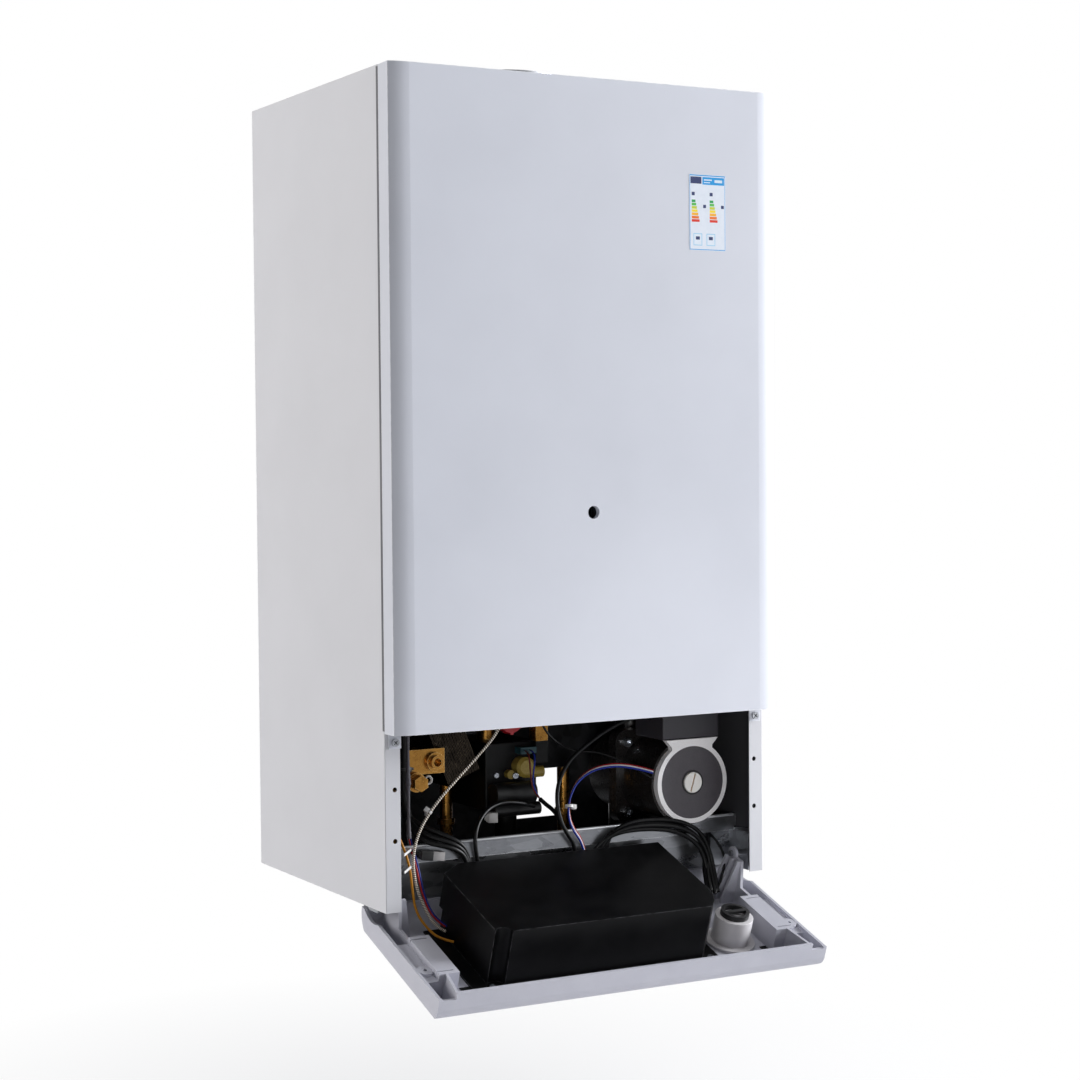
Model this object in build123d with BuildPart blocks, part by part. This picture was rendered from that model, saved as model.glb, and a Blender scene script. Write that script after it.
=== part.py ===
"""Wall-mounted gas boiler, with its control panel hanging open below the service bay.

Millimetres. X points right as seen from the front, Y into the wall and Z up. The origin lies on
the wall plane, on the casing's middle, at the height of the casing's lower edge.
"""
import math
import os

from build123d import *

os.makedirs("parts", exist_ok=True)

# Casing shells
casing_width = 400.0
casing_height = 740.0
casing_depth = 291.0
cover_depth = 24.0
sheet = 1.0
seam_gap = 0.6
bow_reach = 19.0
bow_radius = 47.0
edge_bend = 0.8
front_flange = 15.0
rear_flange = 14.0
flange_hole_radius = 2.2
flange_hole_low = 63.0
flange_hole_pitch = 45.5
flange_hole_inset = 9.6
cut = 2.0

# Rear frame and the bracket that it hangs on
wall_gap = 5.0
frame_lip = 4.0
back_opening_height = 71.0
back_opening_foot = 20.0
back_opening_left = 62.0
back_opening_right = 141.0
bracket_length = 320.0
bracket_height = 50.0
bracket_thickness = 2.5
bracket_drop = 68.0
bracket_hole_pitch = 260.0
bracket_hole_radius = 4.5
hook_pitch = 200.0
hook_width = 24.0
hook_tab = 12.0
hook_rise = 30.0
hook_clearance = 1.0

# Front cover
cover_gap = 1.5
cover_return = 12.0
sight_height = 349.0
sight_radius = 6.0
sight_collar_depth = 5.0
tab_width = 12.1
tab_length = 13.7
tab_thickness = 1.2
tab_clearance = 0.1
cover_screw_drop = 8.2
cover_screw_radius = 2.0
cover_screw_head = 3.5
cover_screw_head_depth = 2.2
cover_screw_length = 8.0
cross_width = 0.9
cross_reach = 2.4
cross_depth = 1.2

# Flue collar
flue_from_wall = 150.0
flue_outer_bore = 50.0
flue_inner_bore = 30.0
flue_wall = 2.0
collar_height = 24.0
collar_foot = 66.0
collar_foot_thickness = 3.0
collar_spigot_depth = 10.0
collar_neck = 0.8
collar_neck_height = 3.0
collar_web = 3.0
collar_web_depth = 4.0
collar_stop = 1.0
collar_screw_radius = 2.0

# Service tray
tray_height = 48.5
tray_set_back = 45.0
tray_lip = 15.5
tray_apron_step = 8.0
tray_apron_drop = 30.0
tray_apron_hem = 7.0
pipe_pitch = 65.0
pipe_from_wall = 140.0

# Pipe tails through the tray
heating_tail_radius = 13.2
water_tail_radius = 10.5
tail_neck = 1.0
tail_bore_share = 0.7
tail_below = 24.0
tail_above = 14.0
tail_nut_height = 9.0
tail_nut_margin = 4.0
hot_pipe_radius = 6.0
hot_pipe_top = 92.0
hot_collar_height = 47.0
hot_collar_depth = 5.0
hot_collar_margin = 2.5

# Sealed chamber
chamber_from_wall = 100.0
chamber_front_gap = 6.0
chamber_bottom = 236.0
chamber_top_gap = 1.0
window_radius = 13.0
window_thickness = 2.0
window_rim = 3.0

# Combustion box, burner, manifold and electrodes
box_side_gap = 36.0
box_wall = 12.0
box_front_gap = 14.0
box_back_gap = 5.0
rail_bottom = 262.0
rail_height = 8.0
rail_width = 10.0
ramp_count = 12
ramp_side_gap = 17.5
ramp_width = 12.0
ramp_height = 43.0
ramp_clearance = 4.0
ramp_slot_width = 2.0
ramp_slot_depth = 6.0
manifold_radius = 7.0
manifold_height = 246.0
manifold_from_wall = 190.0
nozzle_radius = 2.5
nozzle_length = 7.0
electrode_pitch = 80.0
electrode_height = 318.0
electrode_radius = 3.5
electrode_tip_radius = 1.1
electrode_front = 10.0
electrode_length = 52.0
electrode_tip_length = 14.0
electrode_clearance = 0.3

# Heat exchanger
exchanger_height = 60.0
fin_count = 30
fin_thickness = 1.0
water_way_count = 5
water_way_radius = 8.0
header_depth = 18.0
header_height = 30.0

# Smoke hood and fan
hood_share = 0.2
hood_neck_half = 60.0
hood_neck_depth = 56.0
fan_top_gap = 55.0
fan_radius = 70.0
fan_depth = 62.0
fan_wall = 2.0
fan_wheel_radius = 58.0
fan_hub_radius = 14.0
fan_wheel_depth = 34.0
fan_blade_count = 20
fan_blade_length = 14.0
fan_blade_thickness = 1.6
fan_plate_thickness = 2.0
fan_shaft_radius = 4.0
fan_motor_radius = 32.0
fan_motor_length = 55.0
shaft_clearance = 0.05
fan_spigot_radius = 29.0
spigot_fit = 0.2

# Expansion vessel behind the chamber
vessel_side_gap = 29.0
vessel_drop = 270.0
vessel_rim = 6.0
vessel_rim_width = 5.0
vessel_dome = 30.0
vessel_wall = 1.5

# Circulation pump
pump_side_gap = 57.0
pump_height = 85.0
pump_face_gap = 35.5
pump_ring_radius = 39.5
pump_ring_depth = 7.0
pump_plate_radius = 35.0
pump_plate_depth = 1.5
pump_flare_half = 29.5
pump_flare_neck = 23.0
pump_flare_rise = 42.0
pump_can_radius = 42.0
pump_can_length = 59.0
pump_can_wall = 5.0
pump_can_cavity = 26.0
pump_notch_clearance = 0.5
pump_flange_half = 46.0
pump_flange_depth = 14.0
pump_flange_corner = 12.0
pump_body_radius = 41.0
pump_body_depth = 48.0
pump_body_cavity = 34.0
pump_screw_offset = 34.5
pump_screw_radius = 3.0
pump_screw_head = 4.6
pump_screw_head_depth = 5.0
pump_screw_length = 12.0
pump_socket_radius = 2.4
pump_socket_depth = 3.0
pump_shaft_radius = 5.0
pump_rotor_radius = 24.0
pump_rotor_gap = 4.0
impeller_radius = 30.0
impeller_depth = 12.0
impeller_vane_count = 6
impeller_vane_thickness = 2.5
bleed_radius = 9.8
bleed_clearance = 0.4
bleed_depth = 6.0
bleed_stand_out = 1.5
bleed_slot_width = 1.6
bleed_slot_depth = 1.5
bleed_slot_lean = 17.0
terminal_half = 32.0
terminal_height = 40.0
terminal_depth = 52.0
terminal_edge = 2.0
pump_pipe_radius = 11.0
pipe_bend = 18.0

# Brass flow group at the left
flow_barrel_radius = 15.0
flow_barrel_top = 158.0
flow_from_wall = 170.0
flow_x = -135.0
nipple_x = -110.5
nipple_height = 118.0
nipple_front = 215.0
nipple_radius = 6.2
nipple_bore = 3.9
nipple_collar_radius = 8.8
nipple_collar_depth = 16.0
flow_plug_height = 102.0
flow_plug_front = 221.0
flow_plug_radius = 7.6
flow_plug_depth = 10.0
flow_arm_radius = 9.0
flow_block_height = 130.0
flow_block_half = 11.0
flow_block_depth = 8.0
flow_leg_radius = 11.0
diverter_motor_radius = 14.0
diverter_motor_height = 46.0
diverter_spindle_radius = 3.0
diverter_spindle_length = 30.0
diverter_travel_gap = 8.0

# Plate heat exchanger
plate_count = 12
plate_pitch = 3.0
plate_thickness = 2.2
plate_core_margin = 3.0
plate_width = 64.0
plate_length = 78.0
plate_tilt = 22.0
plate_x = -88.0
plate_height = 134.0
plate_from_wall = 165.0

# Gas valve with its coils, switch and safety valve
valve_left = -46.0
valve_right = 10.0
valve_front = 186.0
valve_back = 112.0
valve_top = 128.0
valve_foot = 62.5
valve_edge = 2.0
coil_front = 208.0
coil_radius = 10.5
coil_height = 80.5
coil_left = -44.0
coil_right = -1.0
plunger_radius = 6.0
plunger_height = 64.5
plunger_right = 5.5
coil_foot_margin = 2.0
cap_x = -8.0
cap_height = 104.0
cap_radius = 9.8
cap_depth = 14.0
cap_edge = 3.0
cap_ear_reach = 13.5
cap_ear_radius = 4.2
cap_ear_drop = 6.6
cap_branch_radius = 5.5
cap_branch_reach = 20.0
cap_branch_drop = 5.5
plug_width = 17.0
plug_height = 6.0
plug_depth = 12.0
gas_pipe_x = 10.0
gas_pipe_radius = 7.5
gas_nut_half = 6.5
gas_nut_height = 24.0
gas_leg_radius = 11.0
gas_column_drop = 21.0
safety_x = -27.0
safety_height = 151.0
safety_front = 190.0
safety_radius = 9.0
safety_knob_radius = 14.0
safety_knob_depth = 15.0
safety_lobe_count = 6
safety_lobe_radius = 2.0
safety_stem_radius = 3.0

# Control panel, given as it sits when shut: u runs up from the casing's lower edge
# and w runs forward from the seam
open_angle = 109.0
pivot_rise = 14.5
pivot_set_back = 23.8
panel_height = 157.0
panel_tail = 6.0
panel_wall = 3.0
lip_radius = 12.5
lip_rise = 4.0
lip_notch = 2.2
lip_side_gap = 16.5
notch_clearance = 0.4
scallop_margin = 0.6
block_side_gap = 35.0
block_back = 60.0
block_front = 124.0
block_rise = 3.0
catch_u = 108.5
catch_radius = 7.0
catch_top = 0.8
catch_hole_radius = 1.8
catch_hole_depth = 6.0
slot_width = 1.5
slot_depth = 2.5
slot_inset = 4.0
rib_width = 2.5
rib_rise = 3.0
rib_side_gap = 24.0
arm_side_gap = 16.5
arm_thickness = 3.0
arm_eye_radius = 6.5
arm_tip_u = 31.0
arm_tip_w = -23.0
arm_knee_u = 38.0
arm_knee_w = 1.5
arm_foot_u = 60.0
gusset_reach = 14.0
gusset_top_reach = 4.0
gusset_thickness = 3.0
gusset_first_u = 9.0
gusset_pitch = 9.5
gusset_count = 3
gusset_foot_w = 17.0
pin_radius = 3.0
pin_clearance = 0.05
pin_side_gap = 22.0

# Plates under the tray that carry the hinge pins
bracket_plate_thickness = 2.0
bracket_tab_front = 283.0
bracket_tab_back = 262.0
bracket_tab_reach = 10.0
bracket_tab_height = 37.0
bracket_front = 271.0
bracket_foot = -3.0
bracket_foot_back = 255.0
bracket_heel_back = 238.0
bracket_heel_height = 6.0
bracket_end_back = 205.0
bracket_end_low = 14.0
bracket_end_high = 31.0

# Electronics cover on the panel
case_left = -131.0
case_right = 105.0
case_back = -4.0
case_front = 119.0
case_top = -34.0
case_wall = 2.2
case_back_cut_x = 22.0
case_back_cut_u = 15.0
case_bow_x = 15.0
case_bow_u = 38.0
case_bow_share = 0.7
case_step_w = -1.0
case_channel_radius = 8.5
case_channel_x = 7.0
case_channel_u = 1.0
case_lug_side = 16.0
case_lug_front = 5.0
case_lug_thickness = 2.0
case_screw_inset = 2.5
case_screw_left = 2.6
case_screw_right = 7.5
case_screw_radius = 1.6
case_screw_head = 3.0
case_screw_head_depth = 1.8

# Control board inside that cover
board_margin = 12.0
board_w = 9.0
board_thickness = 1.6
board_post_radius = 3.0
board_post_inset = 6.0
switch_cube = 6.0
switch_gap = 1.4
transformer_side = 42.0
transformer_height = 30.0
relay_length = 20.0
relay_width = 12.0
relay_height = 16.0
relay_count = 4
relay_pitch = 26.0

# Gauge, display and buttons on the panel
gauge_x = 134.0
gauge_u = 97.0
gauge_radius = 18.0
gauge_top = -7.0
gauge_foot_radius = 24.0
gauge_foot_thickness = 3.0
gauge_hole_radius = 20.2
gauge_fit = 0.2
gauge_bezel_radius = 23.0
gauge_bezel_height = 1.5
gauge_dial_radius = 18.0
gauge_dial_depth = 2.6
gauge_lens_thickness = 0.9
needle_length = 14.0
needle_tail = 4.0
needle_width = 1.4
needle_thickness = 0.5
needle_hub_radius = 2.2
needle_shaft_radius = 0.8
needle_shaft_length = 3.0
needle_gap = 0.4
clip_outer_radius = 13.5
clip_inner_radius = 10.5
clip_depth = 5.0
clip_bar_width = 4.0
display_x = -10.0
display_u = 98.0
display_width = 92.0
display_height = 32.0
display_stand_out = 0.4
display_thickness = 1.6
display_ledge = 3.0
display_corner = 3.0
display_fit = 0.1
button_names = ("button_minus", "button_plus", "button_reset")
button_u = 56.0
button_pitch = 30.0
button_radius = 7.0
button_clearance = 0.4
button_stand_out = 1.5
button_flange = 1.6
button_flange_thickness = 1.2
button_flange_gap = 0.05
button_stem_radius = 2.0

# Leads in the service bay
braid_radius = 1.3
amber_radius = 1.2
cable_radius = 2.0
loop_radius = 2.0
bundle_radius = 3.5
thin_radius = 1.1
strand_radius = 0.9
strand_across = 1.4
strand_behind = 1.9
arc_share = 0.45

# Places that follow from the sizes above
half_width = casing_width / 2
inner_half = half_width - sheet
seam_y = -casing_depth
front_y = seam_y - cover_depth
frame_y = -wall_gap
cover_bottom = panel_height + cover_gap
flange_x = half_width - flange_hole_inset
flue_y = -flue_from_wall
hook_z = casing_height - hook_rise
bracket_top = casing_height - bracket_drop + bracket_height
tray_y = seam_y + tray_set_back
apron_y = tray_y + tray_apron_step
rail_foot = tray_height - tray_lip
tray_floor = rail_foot - tray_apron_drop + sheet
tail_top = tray_floor + tail_above
pipe_y = -pipe_from_wall
chamber_front_y = seam_y + chamber_front_gap
chamber_back_y = -chamber_from_wall
chamber_top = casing_height - sheet - chamber_top_gap
chamber_half = inner_half - sheet
box_half = chamber_half - box_side_gap
exchanger_half = box_half - box_wall
box_front_y = chamber_front_y + box_front_gap
box_back_y = chamber_back_y - sheet - box_back_gap
rail_top = rail_bottom + rail_height
manifold_y = -manifold_from_wall
fan_centre_height = casing_height - fan_top_gap - fan_radius
hood_top = fan_centre_height - fan_radius
hood_height = hood_share * (hood_top - rail_top)
exchanger_top = hood_top - hood_height
exchanger_bottom = exchanger_top - exchanger_height
ramp_pitch = (2 * (exchanger_half - ramp_side_gap) - ramp_width) / (ramp_count - 1)
vessel_radius = inner_half - vessel_rim_width - vessel_side_gap
vessel_height = casing_height - vessel_drop
header_z = exchanger_bottom + exchanger_height / 2
pump_x = half_width - pump_side_gap
pump_face_y = seam_y + pump_face_gap
pump_ring_back_y = pump_face_y + pump_ring_depth
pump_can_back_y = pump_ring_back_y + pump_can_length
pump_flange_back_y = pump_can_back_y + pump_flange_depth
pump_body_back_y = pump_flange_back_y + pump_body_depth
riser_x = chamber_half - pump_pipe_radius - cut
cover_screw_z = cover_bottom - cover_screw_drop
case_step_u = cover_depth - panel_tail
lip_half = half_width - lip_side_gap
block_inner = half_width - block_side_gap
rib_foot_x = half_width - rib_side_gap
arm_outer = half_width - arm_side_gap
pin_end = half_width - pin_side_gap


# Points of the panel when it hangs open
def swung(y, z):
    """Turns a point of the shut panel about the hinge pins to where it hangs."""
    turn = math.radians(open_angle)
    pivot_y = seam_y + pivot_set_back
    across = y - pivot_y
    up = z - pivot_rise
    return (
        pivot_y + across * math.cos(turn) - up * math.sin(turn),
        pivot_rise + across * math.sin(turn) + up * math.cos(turn),
    )


hang = math.radians(open_angle)
panel_y, panel_z = swung(seam_y, 0)
up_the_panel = (0, -math.sin(hang), math.cos(hang))
out_of_the_panel = (0, -math.cos(hang), -math.sin(hang))
panel_face = Plane(origin=(0, panel_y, panel_z), x_dir=(1, 0, 0), z_dir=out_of_the_panel)
panel_side = Plane(origin=(0, panel_y, panel_z), x_dir=up_the_panel, z_dir=(1, 0, 0))


def block(x_span, y_span, z_span, mode=Mode.ADD):
    """Adds a block between two x, two y and two z."""
    middle = [(span[0] + span[1]) / 2 for span in (x_span, y_span, z_span)]
    sides = [abs(span[1] - span[0]) for span in (x_span, y_span, z_span)]
    with Locations(tuple(middle)):
        Box(*sides, mode=mode)


def panel_block(x_span, u_span, w_span, mode=Mode.ADD):
    """Adds a block between two x, two u and two w of the panel."""
    middle = [(span[0] + span[1]) / 2 for span in (x_span, u_span, w_span)]
    sides = [abs(span[1] - span[0]) for span in (x_span, u_span, w_span)]
    with Locations(panel_face):
        with Locations(tuple(middle)):
            Box(*sides, mode=mode)


def bar(start, end, radius, mode=Mode.ADD):
    """Adds a round bar from one point to another."""
    axis = Vector(*end) - Vector(*start)
    with Locations(Plane(origin=start, z_dir=axis)):
        Cylinder(radius, axis.length, align=(Align.CENTER, Align.CENTER, Align.MIN), mode=mode)


def panel_bar(x, u, w_from, w_to, radius, mode=Mode.ADD):
    """Adds a round bar square to the panel, between two w."""
    low = min(w_from, w_to)
    with Locations(panel_face):
        with Locations((x, u, low)):
            Cylinder(
                radius, abs(w_to - w_from), align=(Align.CENTER, Align.CENTER, Align.MIN), mode=mode
            )


def tube(points, radius, bend):
    """Adds a round tube that follows the points with bends of one radius."""
    with BuildLine() as route:
        FilletPolyline(*points, radius=bend)
    with BuildSketch(Plane(origin=route.line @ 0, z_dir=route.line % 0)) as section:
        Circle(radius)
    sweep(section.sketch, path=route.line)


# The rear frame carries everything and has an opening low at the right for pipes and cables
with BuildPart() as rear_frame:
    block((-inner_half, inner_half), (frame_y - sheet, frame_y), (0, casing_height - sheet))
    for side in (-1, 1):
        edge = side * inner_half
        block((edge, edge - side * sheet), (frame_y, -sheet), (0, casing_height - sheet))
    block(
        (back_opening_left, back_opening_right),
        (frame_y - sheet - cut, frame_y + cut),
        (back_opening_foot, back_opening_height),
        mode=Mode.SUBTRACT,
    )
    # A rail across the bottom stiffens it below the opening
    rail_half = half_width - rear_flange
    block((-inner_half, inner_half), (frame_y - sheet, -sheet), (0, sheet))
    block((-rail_half, rail_half), (-sheet, 0), (-frame_lip, frame_lip))
    for side in (-1, 1):
        middle = side * hook_pitch / 2
        reach = hook_width / 2 + hook_clearance
        block(
            (middle - reach, middle + reach),
            (frame_y - sheet - cut, frame_y + cut),
            (hook_z - hook_tab - hook_clearance, hook_z + bracket_thickness),
            mode=Mode.SUBTRACT,
        )
rear_frame.part.label = "rear_frame"
export_step(rear_frame.part, "parts/rear_frame.step")

# Two hooks of the wall bracket reach through the frame's slots and turn up behind it
with BuildPart() as wall_bracket:
    block(
        (-bracket_length / 2, bracket_length / 2),
        (-bracket_thickness, 0),
        (bracket_top - bracket_height, bracket_top),
    )
    for side in (-1, 1):
        middle = side * hook_pitch / 2
        span = (middle - hook_width / 2, middle + hook_width / 2)
        hook_y = frame_y - sheet - hook_clearance - bracket_thickness
        block(span, (hook_y, 0), (hook_z, hook_z + bracket_thickness))
        block(span, (hook_y, hook_y + bracket_thickness), (hook_z, hook_z + hook_tab))
    with BuildSketch(Plane.XZ):
        with Locations((0, bracket_top - bracket_height / 2)):
            with GridLocations(bracket_hole_pitch, 0, 2, 1):
                Circle(bracket_hole_radius)
    extrude(amount=cut + bracket_thickness, both=True, mode=Mode.SUBTRACT)
wall_bracket.part.label = "wall_bracket"
export_step(wall_bracket.part, "parts/wall_bracket.step")


def side_panel(side):
    """Makes one side shell: a wall, a drilled front flange and a rear flange."""
    with BuildPart() as shell:
        outer = side * half_width
        block((outer, outer - side * sheet), (seam_y, 0), (0, casing_height))
        block((outer, outer - side * front_flange), (seam_y, seam_y + sheet), (0, casing_height - sheet))
        block((outer, outer - side * rear_flange), (-sheet, 0), (0, casing_height - sheet))
        corner = shell.edges().filter_by(Axis.Z).sort_by_distance((outer, seam_y, casing_height / 2))[0]
        fillet(corner, edge_bend)
        for height in (flange_hole_low, flange_hole_low + flange_hole_pitch):
            start = (side * flange_x, seam_y - cut, height)
            end = (side * flange_x, seam_y + sheet + cut, height)
            bar(start, end, flange_hole_radius, mode=Mode.SUBTRACT)
        start = (side * flange_x, seam_y - cut, cover_screw_z)
        end = (side * flange_x, seam_y + sheet + cut, cover_screw_z)
        bar(start, end, cover_screw_radius + shaft_clearance, mode=Mode.SUBTRACT)
    return shell.part


left_side_panel = side_panel(-1)
left_side_panel.label = "left_side_panel"
export_step(left_side_panel, "parts/left_side_panel.step")

right_side_panel = side_panel(1)
right_side_panel.label = "right_side_panel"
export_step(right_side_panel, "parts/right_side_panel.step")

# The top sheet has a turned-down front edge and the hole for the flue
with BuildPart() as top_panel:
    block((-inner_half, inner_half), (seam_y, 0), (casing_height - sheet, casing_height))
    block(
        (-inner_half, inner_half),
        (seam_y + sheet, seam_y + 2 * sheet),
        (casing_height - sheet - cover_return, casing_height - sheet),
    )
    start = (0, flue_y, casing_height - sheet - cut)
    end = (0, flue_y, casing_height + cut)
    bar(start, end, flue_outer_bore + flue_wall, mode=Mode.SUBTRACT)
top_panel.part.label = "top_panel"
export_step(top_panel.part, "parts/top_panel.step")

# The collar takes an air pipe outside and a flue pipe inside, joined by three webs
with BuildPart() as flue_collar:
    socket_radius = fan_spigot_radius + spigot_fit
    neck_radius = flue_outer_bore + flue_wall - collar_neck
    neck_top = collar_foot_thickness + collar_neck_height
    for outer, inner, foot, height in (
        (collar_foot, flue_outer_bore, 0, collar_foot_thickness),
        (neck_radius, flue_outer_bore, 0, neck_top),
        (flue_outer_bore + flue_wall, flue_outer_bore, neck_top, collar_height - neck_top),
        (flue_outer_bore + flue_wall, flue_outer_bore - collar_stop, -collar_web_depth, collar_web_depth),
        (flue_inner_bore + flue_wall, flue_inner_bore, 0, collar_height),
        (flue_inner_bore + flue_wall, socket_radius, -collar_spigot_depth, collar_spigot_depth),
    ):
        with BuildSketch(Plane.XY.offset(casing_height + foot)) as ring:
            with Locations((0, flue_y)):
                Circle(outer)
                Circle(inner, mode=Mode.SUBTRACT)
        extrude(ring.sketch, amount=height)
    with BuildSketch(Plane.XY.offset(casing_height - collar_web_depth)) as webs:
        with Locations((0, flue_y)):
            with PolarLocations(flue_inner_bore + flue_wall / 2, 3):
                Rectangle(
                    flue_outer_bore - flue_inner_bore, collar_web, align=(Align.MIN, Align.CENTER)
                )
    extrude(webs.sketch, amount=collar_web_depth)
    with BuildSketch(Plane.XY.offset(casing_height)) as screw_holes:
        with Locations((0, flue_y)):
            with PolarLocations((collar_foot + flue_outer_bore + flue_wall) / 2, 4, start_angle=45):
                Circle(collar_screw_radius)
    extrude(screw_holes.sketch, amount=collar_foot_thickness, mode=Mode.SUBTRACT)
flue_collar.part.label = "flue_collar"
export_step(flue_collar.part, "parts/flue_collar.step")

# The galvanised tray has a front rail, an apron under it and a floor with the pipes' holes
tail_places = (
    (-2 * pipe_pitch, heating_tail_radius),
    (-pipe_pitch, water_tail_radius),
    (0, heating_tail_radius),
    (pipe_pitch, water_tail_radius),
    (2 * pipe_pitch, heating_tail_radius),
)
with BuildPart() as service_tray:
    apron_half = inner_half - bracket_plate_thickness
    block((-inner_half, inner_half), (tray_y, tray_y + sheet), (rail_foot, tray_height))
    block((-inner_half, inner_half), (tray_y, apron_y + sheet), (rail_foot, rail_foot + sheet))
    block((-inner_half, inner_half), (tray_y, apron_y + sheet), (tray_height - sheet, tray_height))
    apron_foot = tray_floor - sheet - tray_apron_hem
    block((-apron_half, apron_half), (apron_y, apron_y + sheet), (apron_foot, rail_foot + sheet))
    block((-inner_half, inner_half), (apron_y, frame_y - sheet), (tray_floor - sheet, tray_floor))
    for place, radius in tail_places:
        start = (place, pipe_y, tray_floor - sheet - cut)
        end = (place, pipe_y, tray_floor + cut)
        bar(start, end, radius, mode=Mode.SUBTRACT)
    for side in (-1, 1):
        block(
            (side * apron_half, side * (inner_half + cut)),
            (tray_y - cut, -bracket_end_back),
            (tray_floor - sheet - cut, bracket_tab_height),
            mode=Mode.SUBTRACT,
        )
    # The rail is hollowed where the pump's can comes through it
    start = (pump_x, tray_y - cut, pump_height)
    end = (pump_x, apron_y + sheet + cut, pump_height)
    bar(start, end, pump_can_radius + pump_notch_clearance, mode=Mode.SUBTRACT)
service_tray.part.label = "service_tray"
export_step(service_tray.part, "parts/service_tray.step")


def pipe_tails(radius):
    """Makes every tail of one radius: a threaded pipe end and a six-sided nut on the tray's floor."""
    with BuildPart() as tails:
        for place, tail_radius in tail_places:
            if tail_radius == radius:
                bar((place, pipe_y, -tail_below), (place, pipe_y, 0), radius)
                bar((place, pipe_y, 0), (place, pipe_y, tail_top), radius - tail_neck)
                with BuildSketch(Plane.XY.offset(tray_floor)) as nut:
                    with Locations((place, pipe_y)):
                        RegularPolygon(radius + tail_nut_margin, 6)
                extrude(nut.sketch, amount=tail_nut_height)
                if radius == water_tail_radius:
                    bar((place, pipe_y, tail_top), (place, pipe_y, hot_pipe_top), hot_pipe_radius)
                    collar_top = hot_collar_height + hot_collar_depth
                    collar_radius = hot_pipe_radius + hot_collar_margin
                    bar((place, pipe_y, hot_collar_height), (place, pipe_y, collar_top), collar_radius)
                start = (place, pipe_y, -tail_below - cut)
                end = (place, pipe_y, tray_floor + tail_nut_height)
                bar(start, end, radius * tail_bore_share, mode=Mode.SUBTRACT)
    return tails.part


heating_tails = pipe_tails(heating_tail_radius)
heating_tails.label = "heating_tails"
export_step(heating_tails, "parts/heating_tails.step")

water_tails = pipe_tails(water_tail_radius)
water_tails.label = "water_tails"
export_step(water_tails, "parts/water_tails.step")


def shell_section(inset, back):
    """Draws a shell's section, out and across: flat sides and a front that bows back at its edges."""
    radius = bow_radius - inset
    turn = math.degrees(math.asin((bow_reach - inset) / radius))
    centre_out = cover_depth - bow_radius
    centre_across = half_width - bow_reach
    side_half = half_width - inset
    with BuildLine() as outline:
        right_bow = CenterArc((centre_out, centre_across), radius, turn, -turn)
        left_bow = CenterArc((centre_out, -centre_across), radius, 0, -turn)
        Line(right_bow @ 1, left_bow @ 0)
        Line(left_bow @ 1, (back, -side_half))
        Line((back, -side_half), (back, side_half))
        Line((back, side_half), right_bow @ 0)
    return outline.line


# The front cover is one folded sheet whose front bows back to its side walls, with returns inside
cover_section = Plane(origin=(0, seam_y, cover_bottom), x_dir=(0, -1, 0), z_dir=(0, 0, 1))
with BuildPart() as front_cover:
    with BuildSketch(cover_section):
        make_face(shell_section(0, -cut))
    extrude(amount=casing_height - cover_bottom)
    with BuildSketch(cover_section.offset(-cut)):
        make_face(shell_section(sheet, -cut))
    extrude(amount=casing_height - cover_bottom - sheet + cut, mode=Mode.SUBTRACT)
    back_y = seam_y - seam_gap
    block(
        (-casing_width, casing_width),
        (back_y, seam_y + casing_depth),
        (0, casing_height + cut),
        mode=Mode.SUBTRACT,
    )
    bottom_back = front_y + cover_return
    block(
        (-half_width + bow_reach, half_width - bow_reach),
        (front_y, bottom_back),
        (cover_bottom, cover_bottom + sheet),
    )
    for side in (-1, 1):
        outer = side * (half_width - sheet)
        block(
            (outer, outer - side * cover_return),
            (back_y - sheet, back_y),
            (cover_bottom, casing_height - sheet),
        )
    # The sight hole has a short collar that turns in
    collar_back = front_y + sheet + sight_collar_depth
    bar((0, front_y, sight_height), (0, collar_back, sight_height), sight_radius + sheet)
    start = (0, front_y - cut, sight_height)
    end = (0, collar_back + cut, sight_height)
    bar(start, end, sight_radius, mode=Mode.SUBTRACT)
    for side in (-1, 1):
        tab_y = seam_y - tab_clearance
        tab_edge = half_width - front_flange - sheet / 2
        block(
            (side * tab_edge, side * (tab_edge + tab_width)),
            (tab_y - tab_thickness, tab_y),
            (cover_bottom - tab_length, cover_bottom + cover_return),
        )
        start = (side * flange_x, seam_y - cut - tab_thickness, cover_screw_z)
        end = (side * flange_x, seam_y + cut, cover_screw_z)
        bar(start, end, cover_screw_radius, mode=Mode.SUBTRACT)
front_cover.part.label = "front_cover"
export_step(front_cover.part, "parts/front_cover.step")

# Two cross-head screws hold the cover's tabs to the flanges
with BuildPart() as cover_screws:
    for side in (-1, 1):
        head_back = seam_y - tab_clearance - tab_thickness
        head_front = head_back - cover_screw_head_depth
        x = side * flange_x
        bar((x, head_front, cover_screw_z), (x, head_back, cover_screw_z), cover_screw_head)
        shank_end = (x, head_back + cover_screw_length, cover_screw_z)
        bar((x, head_back, cover_screw_z), shank_end, cover_screw_radius)
        for turn in (45, 135):
            with BuildSketch(Plane(origin=(x, head_front, cover_screw_z), z_dir=(0, 1, 0))) as cross:
                Rectangle(2 * cross_reach, cross_width, rotation=turn)
            extrude(cross.sketch, amount=cross_depth, mode=Mode.SUBTRACT)
cover_screws.part.label = "cover_screws"
export_step(cover_screws.part, "parts/cover_screws.step")

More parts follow.
